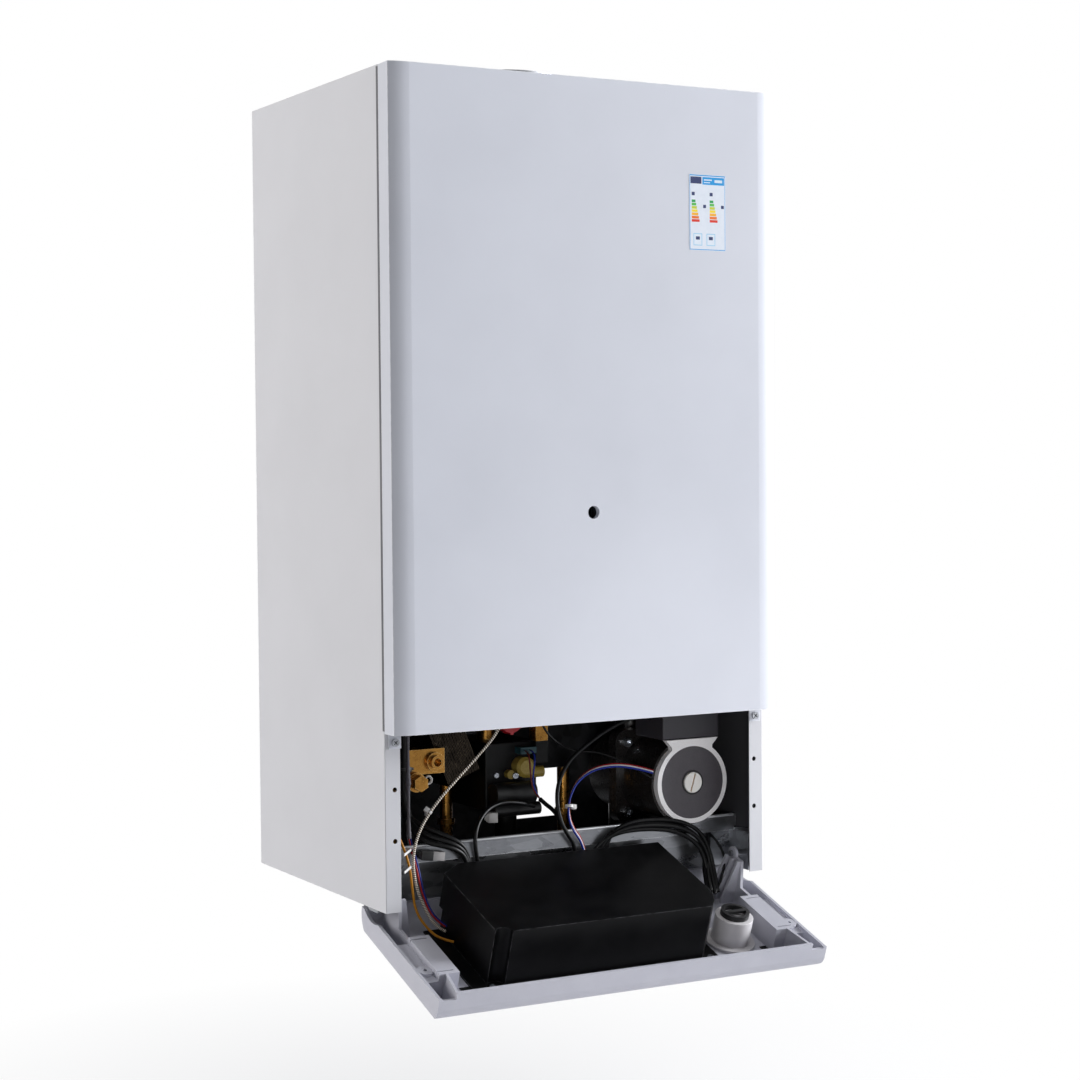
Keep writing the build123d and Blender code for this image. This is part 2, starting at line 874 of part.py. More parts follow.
# The sealed chamber is a box open to the front, with ways for the flue and three pipes
with BuildPart() as sealed_chamber:
    block((-inner_half, inner_half), (chamber_front_y, chamber_back_y), (chamber_bottom, chamber_top))
    block(
        (-chamber_half, chamber_half),
        (chamber_front_y - cut, chamber_back_y - sheet),
        (chamber_bottom + sheet, chamber_top - sheet),
        mode=Mode.SUBTRACT,
    )
    start = (0, flue_y, chamber_top - sheet - cut)
    end = (0, flue_y, chamber_top + cut)
    bar(start, end, flue_outer_bore + flue_wall + cut, mode=Mode.SUBTRACT)
    for place, along, radius in (
        (-riser_x, pipe_y, pump_pipe_radius),
        (riser_x, pipe_y, pump_pipe_radius),
        (gas_pipe_x, manifold_y, gas_pipe_radius),
    ):
        start = (place, along, chamber_bottom - cut)
        end = (place, along, chamber_bottom + sheet + cut)
        bar(start, end, radius, mode=Mode.SUBTRACT)
sealed_chamber.part.label = "sealed_chamber"
export_step(sealed_chamber.part, "parts/sealed_chamber.step")

# Its door carries the sight window in line with the cover's hole
with BuildPart() as chamber_door:
    door_y = chamber_front_y - sheet
    block((-inner_half, inner_half), (door_y, chamber_front_y), (chamber_bottom, chamber_top))
    rim_front = door_y - window_thickness
    bar((0, rim_front, sight_height), (0, door_y, sight_height), window_radius + window_rim)
    bar((0, rim_front, sight_height), (0, door_y, sight_height), window_radius, mode=Mode.SUBTRACT)
    start = (0, door_y - cut, sight_height)
    end = (0, chamber_front_y + cut, sight_height)
    bar(start, end, window_radius - window_rim, mode=Mode.SUBTRACT)
    for side in (-1, 1):
        x = side * electrode_pitch / 2
        start = (x, door_y - cut, electrode_height)
        end = (x, chamber_front_y + cut, electrode_height)
        bar(start, end, electrode_radius, mode=Mode.SUBTRACT)
chamber_door.part.label = "chamber_door"
export_step(chamber_door.part, "parts/chamber_door.step")

with BuildPart() as sight_glass:
    bar((0, rim_front, sight_height), (0, door_y, sight_height), window_radius)
sight_glass.part.label = "sight_glass"
export_step(sight_glass.part, "parts/sight_glass.step")

# The lined combustion box stands on the burner's rails and carries the heat exchanger
with BuildPart() as combustion_box:
    block((-box_half, box_half), (box_front_y, box_back_y), (rail_top, exchanger_bottom))
    block(
        (-box_half + box_wall, box_half - box_wall),
        (box_front_y + box_wall, box_back_y - box_wall),
        (rail_top - cut, exchanger_bottom + cut),
        mode=Mode.SUBTRACT,
    )
    start = (0, box_front_y - cut, sight_height)
    end = (0, box_front_y + box_wall + cut, sight_height)
    bar(start, end, window_radius - window_rim, mode=Mode.SUBTRACT)
    for side in (-1, 1):
        x = side * electrode_pitch / 2
        start = (x, box_front_y - cut, electrode_height)
        end = (x, box_front_y + box_wall + cut, electrode_height)
        bar(start, end, electrode_radius + electrode_clearance, mode=Mode.SUBTRACT)
combustion_box.part.label = "combustion_box"
export_step(combustion_box.part, "parts/combustion_box.step")

# Twelve burner ramps stand on two rails that span the chamber
ramp_front_y = box_front_y + box_wall + ramp_clearance
ramp_back_y = box_back_y - box_wall - ramp_clearance
with BuildPart() as burner:
    for rail_y in (box_front_y, box_back_y - rail_width):
        block((-chamber_half, chamber_half), (rail_y, rail_y + rail_width), (rail_bottom, rail_top))
    first_ramp = -(ramp_count - 1) * ramp_pitch / 2
    last_ramp = -first_ramp + ramp_width / 2
    for rail_y in (ramp_front_y, ramp_back_y - rail_width):
        block((-last_ramp, last_ramp), (rail_y, rail_y + rail_width), (rail_bottom, rail_top))
    for rail_y in (box_front_y, ramp_back_y - rail_width):
        far_y = rail_y + box_wall + ramp_clearance + rail_width
        block((-last_ramp, -last_ramp + ramp_width), (rail_y, far_y), (rail_bottom, rail_top))
        block((last_ramp - ramp_width, last_ramp), (rail_y, far_y), (rail_bottom, rail_top))
    for number in range(ramp_count):
        middle = first_ramp + number * ramp_pitch
        span = (middle - ramp_width / 2, middle + ramp_width / 2)
        block(span, (ramp_front_y, ramp_back_y), (rail_bottom, rail_bottom + ramp_height))
        slot = (middle - ramp_slot_width / 2, middle + ramp_slot_width / 2)
        block(
            slot,
            (ramp_front_y + rail_width, ramp_back_y - rail_width),
            (rail_bottom + ramp_height - ramp_slot_depth, rail_bottom + ramp_height + cut),
            mode=Mode.SUBTRACT,
        )
burner.part.label = "burner"
export_step(burner.part, "parts/burner.step")

# The manifold feeds one nozzle under each ramp, from a riser with a square union on the gas valve
with BuildPart() as gas_manifold:
    manifold_end = -first_ramp + ramp_width
    start = (-manifold_end, manifold_y, manifold_height)
    bar(start, (manifold_end, manifold_y, manifold_height), manifold_radius)
    for number in range(ramp_count):
        x = first_ramp + number * ramp_pitch
        nozzle_top = manifold_height + manifold_radius + nozzle_length
        bar((x, manifold_y, manifold_height), (x, manifold_y, nozzle_top), nozzle_radius)
    union_top = valve_top + gas_nut_height
    block(
        (gas_pipe_x - gas_nut_half, gas_pipe_x + gas_nut_half),
        (manifold_y - gas_nut_half, manifold_y + gas_nut_half),
        (valve_top, union_top),
    )
    start = (gas_pipe_x, manifold_y, union_top)
    bar(start, (gas_pipe_x, manifold_y, manifold_height), gas_pipe_radius)
gas_manifold.part.label = "gas_manifold"
export_step(gas_manifold.part, "parts/gas_manifold.step")

# Two ceramic electrodes, one for ignition and one for flame sensing, pass through the door
with BuildPart() as electrodes:
    for side in (-1, 1):
        x = side * electrode_pitch / 2
        rod_front = door_y - electrode_front
        rod_back = rod_front + electrode_length
        bar((x, rod_front, electrode_height), (x, rod_back, electrode_height), electrode_radius)
        tip_end = rod_back + electrode_tip_length
        bar((x, rod_back, electrode_height), (x, tip_end, electrode_height), electrode_tip_radius)
electrodes.part.label = "electrodes"
export_step(electrodes.part, "parts/electrodes.step")

# Copper fins on five water ways between two headers
exchanger_front_y = box_front_y + box_wall
exchanger_back_y = box_back_y - box_wall
exchanger_depth = exchanger_back_y - exchanger_front_y
with BuildPart() as heat_exchanger:
    for number in range(fin_count):
        middle = -exchanger_half + fin_thickness / 2
        middle += number * (2 * exchanger_half - fin_thickness) / (fin_count - 1)
        span = (middle - fin_thickness / 2, middle + fin_thickness / 2)
        block(span, (exchanger_front_y, exchanger_back_y), (exchanger_bottom, exchanger_top))
    for number in range(water_way_count):
        y = exchanger_front_y + (number + 1 / 2) * exchanger_depth / water_way_count
        bar((-exchanger_half, y, header_z), (exchanger_half, y, header_z), water_way_radius)
    for side in (-1, 1):
        face = side * exchanger_half
        block(
            (face, face + side * header_depth),
            (exchanger_front_y, exchanger_back_y),
            (header_z - header_height / 2, header_z + header_height / 2),
        )
    for y in (exchanger_front_y, exchanger_back_y - sheet):
        block((-exchanger_half, exchanger_half), (y, y + sheet), (exchanger_bottom, exchanger_top))
heat_exchanger.part.label = "heat_exchanger"
export_step(heat_exchanger.part, "parts/heat_exchanger.step")

# The smoke hood narrows from the exchanger to the fan's inlet
hood_middle_y = (exchanger_front_y + exchanger_back_y) / 2
with BuildPart() as smoke_hood:
    with BuildSketch(Plane.XY.offset(exchanger_top)):
        with Locations((0, hood_middle_y)):
            Rectangle(2 * exchanger_half, exchanger_depth)
    with BuildSketch(Plane.XY.offset(hood_top)):
        with Locations((0, flue_y)):
            Rectangle(2 * hood_neck_half, hood_neck_depth)
    loft(ruled=True)
    with BuildSketch(Plane.XY.offset(exchanger_top)):
        with Locations((0, hood_middle_y)):
            Rectangle(2 * (exchanger_half - sheet), exchanger_depth - 2 * sheet)
    with BuildSketch(Plane.XY.offset(hood_top)):
        with Locations((0, flue_y)):
            Rectangle(2 * (hood_neck_half - sheet), hood_neck_depth - 2 * sheet)
    loft(ruled=True, mode=Mode.SUBTRACT)
smoke_hood.part.label = "smoke_hood"
export_step(smoke_hood.part, "parts/smoke_hood.step")

# The fan's scroll stands on the hood and blows up into the collar
fan_front_y = flue_y - fan_depth / 2
fan_back_y = flue_y + fan_depth / 2
with BuildPart() as fan_housing:
    bar((0, fan_front_y, fan_centre_height), (0, fan_back_y, fan_centre_height), fan_radius)
    block((-fan_radius, fan_radius), (fan_front_y, fan_back_y), (hood_top, fan_centre_height))
    spigot_top = casing_height - collar_spigot_depth / 2
    bar((0, flue_y, fan_centre_height), (0, flue_y, spigot_top), fan_spigot_radius)
    start = (0, fan_front_y + fan_wall, fan_centre_height)
    end = (0, fan_back_y - fan_wall, fan_centre_height)
    bar(start, end, fan_radius - fan_wall, mode=Mode.SUBTRACT)
    block(
        (-hood_neck_half + sheet, hood_neck_half - sheet),
        (flue_y - hood_neck_depth / 2 + sheet, flue_y + hood_neck_depth / 2 - sheet),
        (hood_top - cut, fan_centre_height),
        mode=Mode.SUBTRACT,
    )
    start = (0, flue_y, fan_centre_height)
    end = (0, flue_y, spigot_top + cut)
    bar(start, end, fan_spigot_radius - fan_wall, mode=Mode.SUBTRACT)
    start = (0, fan_front_y - cut, fan_centre_height)
    end = (0, fan_front_y + fan_wall + cut, fan_centre_height)
    bar(start, end, fan_hub_radius, mode=Mode.SUBTRACT)
fan_housing.part.label = "fan_housing"
export_step(fan_housing.part, "parts/fan_housing.step")

with BuildPart() as fan_motor:
    motor_front_y = fan_front_y - fan_motor_length
    bar((0, motor_front_y, fan_centre_height), (0, fan_front_y, fan_centre_height), fan_motor_radius)
    fillet(fan_motor.edges().filter_by(GeomType.CIRCLE).sort_by(Axis.Y)[0], fan_wall)
    start = (0, motor_front_y + fan_motor_length / 2, fan_centre_height)
    end = (0, fan_front_y + cut, fan_centre_height)
    bar(start, end, fan_shaft_radius + shaft_clearance, mode=Mode.SUBTRACT)
fan_motor.part.label = "fan_motor"
export_step(fan_motor.part, "parts/fan_motor.step")

with BuildPart() as fan_wheel:
    wheel_front = flue_y - fan_wheel_depth / 2
    wheel_back = flue_y + fan_wheel_depth / 2
    plate_front = wheel_back - fan_plate_thickness
    bar((0, plate_front, fan_centre_height), (0, wheel_back, fan_centre_height), fan_wheel_radius)
    start = (0, motor_front_y + fan_motor_length / 2 + cut, fan_centre_height)
    bar(start, (0, wheel_back, fan_centre_height), fan_shaft_radius)
    start = (0, fan_front_y + fan_wall + cut, fan_centre_height)
    bar(start, (0, wheel_back, fan_centre_height), fan_hub_radius - cut)
    blade_ring = fan_wheel_radius - fan_blade_length / 2
    with BuildSketch(Plane(origin=(0, wheel_front, fan_centre_height), z_dir=(0, 1, 0))):
        with PolarLocations(blade_ring, fan_blade_count):
            Rectangle(fan_blade_length, fan_blade_thickness, rotation=25)
    extrude(amount=fan_wheel_depth - fan_plate_thickness)
fan_wheel.part.label = "fan_wheel"
export_step(fan_wheel.part, "parts/fan_wheel.step")

# The flat round expansion vessel is two pressed halves that meet at a rim
vessel_back_y = frame_y - sheet
vessel_front_y = chamber_back_y + sheet + cut
vessel_middle_y = (vessel_back_y + vessel_front_y) / 2
with BuildPart() as expansion_vessel:
    top = vessel_height + vessel_radius
    with BuildSketch(Plane.YZ) as vessel_section:
        with BuildLine():
            Polyline(
                (vessel_back_y, vessel_height),
                (vessel_back_y, top - vessel_dome),
                (vessel_middle_y + vessel_rim / 2, top),
                (vessel_middle_y + vessel_rim / 2, top + vessel_rim_width),
                (vessel_middle_y - vessel_rim / 2, top + vessel_rim_width),
                (vessel_middle_y - vessel_rim / 2, top),
                (vessel_front_y, top - vessel_dome),
                (vessel_front_y, vessel_height),
                close=True,
            )
        make_face()
    with BuildSketch(Plane.YZ) as vessel_hollow:
        with BuildLine():
            Polyline(
                (vessel_back_y - vessel_wall, vessel_height),
                (vessel_back_y - vessel_wall, top - vessel_dome - vessel_wall),
                (vessel_middle_y, top - vessel_wall),
                (vessel_front_y + vessel_wall, top - vessel_dome - vessel_wall),
                (vessel_front_y + vessel_wall, vessel_height),
                close=True,
            )
        make_face()
    vessel_axis = Axis((0, 0, vessel_height), (0, 1, 0))
    revolve(vessel_section.sketch, axis=vessel_axis)
    revolve(vessel_hollow.sketch, axis=vessel_axis, mode=Mode.SUBTRACT)
expansion_vessel.part.label = "expansion_vessel"
export_step(expansion_vessel.part, "parts/expansion_vessel.step")

# The pump's front ring flares up to its terminal box and holds the face plate
with BuildPart() as pump_front_ring:
    ring_face = Plane(origin=(pump_x, pump_face_y, pump_height), x_dir=(1, 0, 0), z_dir=(0, -1, 0))
    with BuildSketch(ring_face):
        Circle(pump_ring_radius)
        with BuildLine():
            Polyline(
                (-pump_flare_half, pump_flare_rise),
                (-pump_flare_neck, pump_flare_rise - pump_ring_depth),
                (-pump_flare_neck, 0),
                (pump_flare_neck, 0),
                (pump_flare_neck, pump_flare_rise - pump_ring_depth),
                (pump_flare_half, pump_flare_rise),
                close=True,
            )
        make_face()
    extrude(amount=-pump_ring_depth)
    start = (pump_x, pump_face_y - cut, pump_height)
    end = (pump_x, pump_face_y + pump_plate_depth, pump_height)
    bar(start, end, pump_plate_radius, mode=Mode.SUBTRACT)
    end = (pump_x, pump_ring_back_y + cut, pump_height)
    bar(start, end, bleed_radius + bleed_clearance, mode=Mode.SUBTRACT)
pump_front_ring.part.label = "pump_front_ring"
export_step(pump_front_ring.part, "parts/pump_front_ring.step")

with BuildPart() as pump_face_plate:
    back = (pump_x, pump_face_y + pump_plate_depth, pump_height)
    bar((pump_x, pump_face_y, pump_height), back, pump_plate_radius)
    start = (pump_x, pump_face_y - cut, pump_height)
    bar(start, back, bleed_radius + bleed_clearance, mode=Mode.SUBTRACT)
pump_face_plate.part.label = "pump_face_plate"
export_step(pump_face_plate.part, "parts/pump_face_plate.step")

# The slotted bleed screw sits in the middle of the plate
with BuildPart() as pump_bleed_screw:
    screw_front = pump_face_y - bleed_stand_out
    bar((pump_x, screw_front, pump_height), (pump_x, screw_front + bleed_depth, pump_height), bleed_radius)
    with BuildSketch(Plane(origin=(pump_x, screw_front, pump_height), z_dir=(0, 1, 0))):
        Rectangle(2 * bleed_radius, bleed_slot_width, rotation=bleed_slot_lean)
    extrude(amount=bleed_slot_depth, mode=Mode.SUBTRACT)
pump_bleed_screw.part.label = "pump_bleed_screw"
export_step(pump_bleed_screw.part, "parts/pump_bleed_screw.step")

# The motor can holds the rotor, with a wall towards the impeller
with BuildPart() as pump_motor_can:
    bar((pump_x, pump_ring_back_y, pump_height), (pump_x, pump_can_back_y, pump_height), pump_can_radius)
    start = (pump_x, pump_ring_back_y + pump_can_wall, pump_height)
    end = (pump_x, pump_can_back_y - pump_can_wall, pump_height)
    bar(start, end, pump_can_cavity, mode=Mode.SUBTRACT)
    end = (pump_x, pump_can_back_y + cut, pump_height)
    bar(start, end, pump_shaft_radius + shaft_clearance, mode=Mode.SUBTRACT)
pump_motor_can.part.label = "pump_motor_can"
export_step(pump_motor_can.part, "parts/pump_motor_can.step")

# The pump's body has a square flange, an inlet below and an outlet above
with BuildPart() as pump_body:
    with BuildSketch(Plane(origin=(pump_x, pump_can_back_y, pump_height), z_dir=(0, 1, 0))):
        RectangleRounded(2 * pump_flange_half, 2 * pump_flange_half, pump_flange_corner)
    extrude(amount=pump_flange_depth)
    bar((pump_x, pump_can_back_y, pump_height), (pump_x, pump_body_back_y, pump_height), pump_body_radius)
    outlet_top = pump_height + pump_body_radius + tail_above
    bar((pump_x, pipe_y, pump_height), (pump_x, pipe_y, outlet_top), pump_pipe_radius + tail_nut_margin)
    bar((2 * pipe_pitch, pipe_y, tail_top), (2 * pipe_pitch, pipe_y, pump_height), pump_pipe_radius)
    start = (pump_x, pump_can_back_y - cut, pump_height)
    end = (pump_x, pump_flange_back_y + pump_body_depth / 2, pump_height)
    bar(start, end, pump_body_cavity, mode=Mode.SUBTRACT)
    with BuildSketch(Plane(origin=(pump_x, pump_can_back_y, pump_height), z_dir=(0, 1, 0))):
        with GridLocations(2 * pump_screw_offset, 2 * pump_screw_offset, 2, 2):
            Circle(pump_screw_radius)
    extrude(amount=pump_screw_length, mode=Mode.SUBTRACT)
pump_body.part.label = "pump_body"
export_step(pump_body.part, "parts/pump_body.step")

# Four socket-head screws stand at the flange's corners
with BuildPart() as pump_screws:
    screw_plane = Plane(origin=(pump_x, pump_can_back_y, pump_height), z_dir=(0, 1, 0))
    with BuildSketch(screw_plane):
        with GridLocations(2 * pump_screw_offset, 2 * pump_screw_offset, 2, 2):
            Circle(pump_screw_radius)
    extrude(amount=pump_screw_length)
    with BuildSketch(screw_plane):
        with GridLocations(2 * pump_screw_offset, 2 * pump_screw_offset, 2, 2):
            Circle(pump_screw_head)
    extrude(amount=-pump_screw_head_depth)
    with BuildSketch(screw_plane.offset(-pump_screw_head_depth)):
        with GridLocations(2 * pump_screw_offset, 2 * pump_screw_offset, 2, 2):
            RegularPolygon(pump_socket_radius, 6)
    extrude(amount=pump_socket_depth, mode=Mode.SUBTRACT)
pump_screws.part.label = "pump_screws"
export_step(pump_screws.part, "parts/pump_screws.step")

# Rotor, shaft and impeller turn as one
with BuildPart() as pump_impeller:
    rotor_front = pump_ring_back_y + pump_can_wall + pump_rotor_gap
    rotor_back = pump_can_back_y - pump_can_wall - pump_rotor_gap
    bar((pump_x, rotor_front, pump_height), (pump_x, rotor_back, pump_height), pump_rotor_radius)
    wheel_front = pump_can_back_y + pump_rotor_gap
    wheel_back = wheel_front + impeller_depth
    plate_back = wheel_front + impeller_vane_thickness
    bar((pump_x, rotor_back, pump_height), (pump_x, wheel_front, pump_height), pump_shaft_radius)
    bar((pump_x, wheel_front, pump_height), (pump_x, plate_back, pump_height), impeller_radius)
    with BuildSketch(Plane(origin=(pump_x, plate_back, pump_height), z_dir=(0, 1, 0))):
        with PolarLocations(0, impeller_vane_count):
            Rectangle(
                impeller_radius - impeller_vane_thickness,
                impeller_vane_thickness,
                align=(Align.MIN, Align.CENTER),
            )
    extrude(amount=impeller_depth - impeller_vane_thickness)
pump_impeller.part.label = "pump_impeller"
export_step(pump_impeller.part, "parts/pump_impeller.step")

with BuildPart() as pump_terminal_box:
    box_foot = pump_height + pump_flare_rise
    box_front = pump_face_y + pump_plate_depth
    block(
        (pump_x - terminal_half, pump_x + terminal_half),
        (box_front, box_front + terminal_depth),
        (box_foot, box_foot + terminal_height),
    )
    fillet(pump_terminal_box.edges(), terminal_edge)
pump_terminal_box.part.label = "pump_terminal_box"
export_step(pump_terminal_box.part, "parts/pump_terminal_box.step")

# The return pipe climbs from the pump to the exchanger's right header
with BuildPart() as return_pipe:
    tube(
        (
            (pump_x, pipe_y, outlet_top),
            (pump_x, pipe_y, outlet_top + 2 * pipe_bend),
            (riser_x, pipe_y, outlet_top + 3 * pipe_bend),
            (riser_x, pipe_y, header_z + header_height / 2 - pump_pipe_radius),
            (exchanger_half + header_depth, pipe_y, header_z + header_height / 2 - pump_pipe_radius),
        ),
        pump_pipe_radius,
        pump_pipe_radius + cut,
    )
return_pipe.part.label = "return_pipe"
export_step(return_pipe.part, "parts/return_pipe.step")

# The brass flow group stands on the left tail, with a block, an open nipple and a plug in front
flow_y = -flow_from_wall
group_left = flow_x - flow_barrel_radius - flow_block_half
group_front = -nipple_front + nipple_collar_depth / 2
group_back = group_front + flow_block_depth
group_foot = nipple_height - flow_block_half
with BuildPart() as flow_group:
    bar((-2 * pipe_pitch, pipe_y, tail_top), (-2 * pipe_pitch, pipe_y, flow_block_height), flow_leg_radius)
    bar((flow_x, flow_y, flow_block_height), (flow_x, flow_y, flow_barrel_top), flow_barrel_radius)
    block(
        (group_left, nipple_x + flow_block_half),
        (group_front, group_back),
        (group_foot, flow_block_height),
    )
    block(
        (group_left, flow_x + flow_barrel_radius),
        (group_back, pipe_y + flow_leg_radius),
        (group_foot, flow_block_height),
    )
    block(
        (flow_x - flow_block_half, flow_x + flow_block_half),
        (group_front, pipe_y),
        (flow_plug_height - flow_arm_radius, group_foot),
    )
    bar((nipple_x, -nipple_front, nipple_height), (nipple_x, group_back, nipple_height), nipple_radius)
    collar_front = group_front - nipple_collar_depth / 4
    start = (nipple_x, collar_front, nipple_height)
    bar(start, (nipple_x, group_front, nipple_height), nipple_collar_radius)
    bore_start = (nipple_x, -nipple_front - cut, nipple_height)
    bar(bore_start, (nipple_x, group_front, nipple_height), nipple_bore, mode=Mode.SUBTRACT)
    bar((flow_x, -flow_plug_front, flow_plug_height), (flow_x, flow_y, flow_plug_height), flow_arm_radius)
    plug_plane = Plane(origin=(flow_x, -flow_plug_front, flow_plug_height), z_dir=(0, -1, 0))
    with BuildSketch(plug_plane):
        RegularPolygon(flow_plug_radius, 6)
    extrude(amount=flow_plug_depth)
    bar(
        (flow_x, flow_y, flow_barrel_top - diverter_spindle_length / 2),
        (flow_x, flow_y, flow_barrel_top + cut),
        diverter_spindle_radius + shaft_clearance,
        mode=Mode.SUBTRACT,
    )
flow_group.part.label = "flow_group"
export_step(flow_group.part, "parts/flow_group.step")

# The diverter's motor head sits on the barrel and moves a spindle in it
with BuildPart() as diverter_motor:
    head_top = flow_barrel_top + diverter_motor_height
    bar((flow_x, flow_y, flow_barrel_top), (flow_x, flow_y, head_top), diverter_motor_radius)
    fillet(diverter_motor.edges().filter_by(GeomType.CIRCLE).sort_by(Axis.Z)[-1], terminal_edge)
    start = (flow_x, flow_y, flow_barrel_top - cut)
    end = (flow_x, flow_y, flow_barrel_top + diverter_spindle_length / 2 + diverter_travel_gap)
    bar(start, end, diverter_spindle_radius + shaft_clearance, mode=Mode.SUBTRACT)
diverter_motor.part.label = "diverter_motor"
export_step(diverter_motor.part, "parts/diverter_motor.step")

with BuildPart() as diverter_spindle:
    spindle_foot = flow_barrel_top - diverter_spindle_length / 2
    spindle_top = flow_barrel_top + diverter_spindle_length / 2
    bar((flow_x, flow_y, spindle_foot), (flow_x, flow_y, spindle_top), diverter_spindle_radius)
diverter_spindle.part.label = "diverter_spindle"
export_step(diverter_spindle.part, "parts/diverter_spindle.step")

# The flow pipe comes down from the exchanger's left header to the flow group
with BuildPart() as flow_pipe:
    tube(
        (
            (-exchanger_half - header_depth, pipe_y, header_z + header_height / 2 - pump_pipe_radius),
            (-riser_x, pipe_y, header_z + header_height / 2 - pump_pipe_radius),
            (-riser_x, pipe_y, flow_barrel_top + 2 * pipe_bend),
            (group_left + pump_pipe_radius, pipe_y, flow_block_height + 2 * pipe_bend),
            (group_left + pump_pipe_radius, pipe_y, flow_block_height),
        ),
        pump_pipe_radius,
        pump_pipe_radius + cut,
    )
flow_pipe.part.label = "flow_pipe"
export_step(flow_pipe.part, "parts/flow_pipe.step")

# Pressed plates are brazed on a core and lean over the hot water pipe
plate_stack = (plate_count - 1) * plate_pitch + plate_thickness
plate_frame = Plane(
    origin=(plate_x, -plate_from_wall, plate_height),
    x_dir=(0, 1, 0),
    z_dir=(math.cos(math.radians(plate_tilt)), 0, math.sin(math.radians(plate_tilt))),
)
with BuildPart() as plate_heat_exchanger:
    with BuildSketch(plate_frame.offset(-plate_stack / 2)):
        Rectangle(plate_width - 2 * plate_core_margin, plate_length - 2 * plate_core_margin)
    extrude(amount=plate_stack)
    for number in range(plate_count):
        with BuildSketch(plate_frame.offset(number * plate_pitch - plate_stack / 2)):
            RectangleRounded(plate_width, plate_length, plate_core_margin)
        extrude(amount=plate_thickness)
plate_heat_exchanger.part.label = "plate_heat_exchanger"
export_step(plate_heat_exchanger.part, "parts/plate_heat_exchanger.step")

# The gas valve stands on the middle tail
with BuildPart() as gas_valve:
    block((valve_left, valve_right), (-valve_front, -valve_back), (valve_foot, valve_top))
    fillet(gas_valve.edges(), valve_edge)
    bar((0, pipe_y, tail_top), (0, pipe_y, valve_foot + cut), gas_leg_radius)
    # The outlet column stands on the front and reaches the union
    block(
        (gas_pipe_x - gas_nut_half, gas_pipe_x + gas_nut_half),
        (manifold_y - gas_nut_half, manifold_y + gas_nut_half),
        (valve_top - gas_column_drop, valve_top),
    )
gas_valve.part.label = "gas_valve"
export_step(gas_valve.part, "parts/gas_valve.step")

# Its two coils lie across its front
with BuildPart() as gas_coils:
    for height, radius, right in (
        (coil_height, coil_radius, coil_right),
        (plunger_height, plunger_radius, plunger_right),
    ):
        axis_y = -coil_front + coil_radius
        bar((coil_left, axis_y, height), (right, axis_y, height), radius)
        block(
            (coil_left + coil_foot_margin, coil_right - coil_foot_margin),
            (axis_y, -valve_front),
            (height - radius / 2, height + radius / 2),
        )
gas_coils.part.label = "gas_coils"
export_step(gas_coils.part, "parts/gas_coils.step")

# The pressure governor's cap has a screw ear and a side branch
with BuildPart() as governor_cap:
    cap_front = -valve_front - cap_depth
    cap_middle = -valve_front - cap_depth / 2
    bar((cap_x, cap_front, cap_height), (cap_x, -valve_front, cap_height), cap_radius)
    chamfer(governor_cap.edges().filter_by(GeomType.CIRCLE).sort_by(Axis.Y)[0], cap_edge)
    ear_x = cap_x - cap_ear_reach
    ear_z = cap_height - cap_ear_drop
    bar((ear_x, cap_middle, ear_z), (ear_x, -valve_front, ear_z), cap_ear_radius)
    block((ear_x, cap_x), (cap_middle, -valve_front), (ear_z - cap_edge / 2, ear_z + cap_edge / 2))
    branch_z = cap_height - cap_branch_drop
    branch_end = (cap_x + cap_branch_reach, cap_middle, branch_z)
    bar((cap_x, cap_middle, branch_z), branch_end, cap_branch_radius)
governor_cap.part.label = "governor_cap"
export_step(governor_cap.part, "parts/governor_cap.step")

with BuildPart() as governor_plug:
    plug_foot = cap_height + cap_radius + cap_edge
    plug_right = gas_pipe_x - gas_nut_half - electrode_clearance
    block(
        (plug_right - plug_width, plug_right),
        (-valve_front - plug_depth, -valve_front),
        (plug_foot, plug_foot + plug_height),
    )
governor_plug.part.label = "governor_plug"
export_step(governor_plug.part, "parts/governor_plug.step")


def lobed_knob(x, y_front, z, depth, radius, lobe_count, lobe_radius, stem_radius, stem_length):
    """Makes a knob with lobes round its rim, on a stem that points into the wall."""
    with BuildPart() as knob:
        with BuildSketch(Plane(origin=(x, y_front, z), z_dir=(0, 1, 0))):
            Circle(radius - lobe_radius)
            with PolarLocations(radius - lobe_radius, lobe_count):
                Circle(lobe_radius)
        extrude(amount=depth)
        bar((x, y_front, z), (x, y_front + depth + stem_length, z), stem_radius)
    return knob.part


# The safety valve stands on the gas valve's bracket, its knob towards the front
safety_y = -safety_front
with BuildPart() as safety_valve:
    bar((safety_x, safety_y, safety_height), (safety_x, -valve_back, safety_height), safety_radius)
    middle_y = (safety_y - valve_back) / 2
    bar((safety_x, middle_y, valve_top), (safety_x, middle_y, safety_height), safety_radius)
    start = (safety_x, safety_y - cut, safety_height)
    end = (safety_x, safety_y + safety_knob_depth, safety_height)
    bar(start, end, safety_stem_radius + shaft_clearance, mode=Mode.SUBTRACT)
safety_valve.part.label = "safety_valve"
export_step(safety_valve.part, "parts/safety_valve.step")

safety_knob = lobed_knob(
    safety_x,
    safety_y - safety_knob_depth - electrode_clearance,
    safety_height,
    safety_knob_depth,
    safety_knob_radius,
    safety_lobe_count,
    safety_lobe_radius,
    safety_stem_radius,
    safety_knob_depth - cut,
)
safety_knob.label = "safety_knob"
export_step(safety_knob, "parts/safety_knob.step")


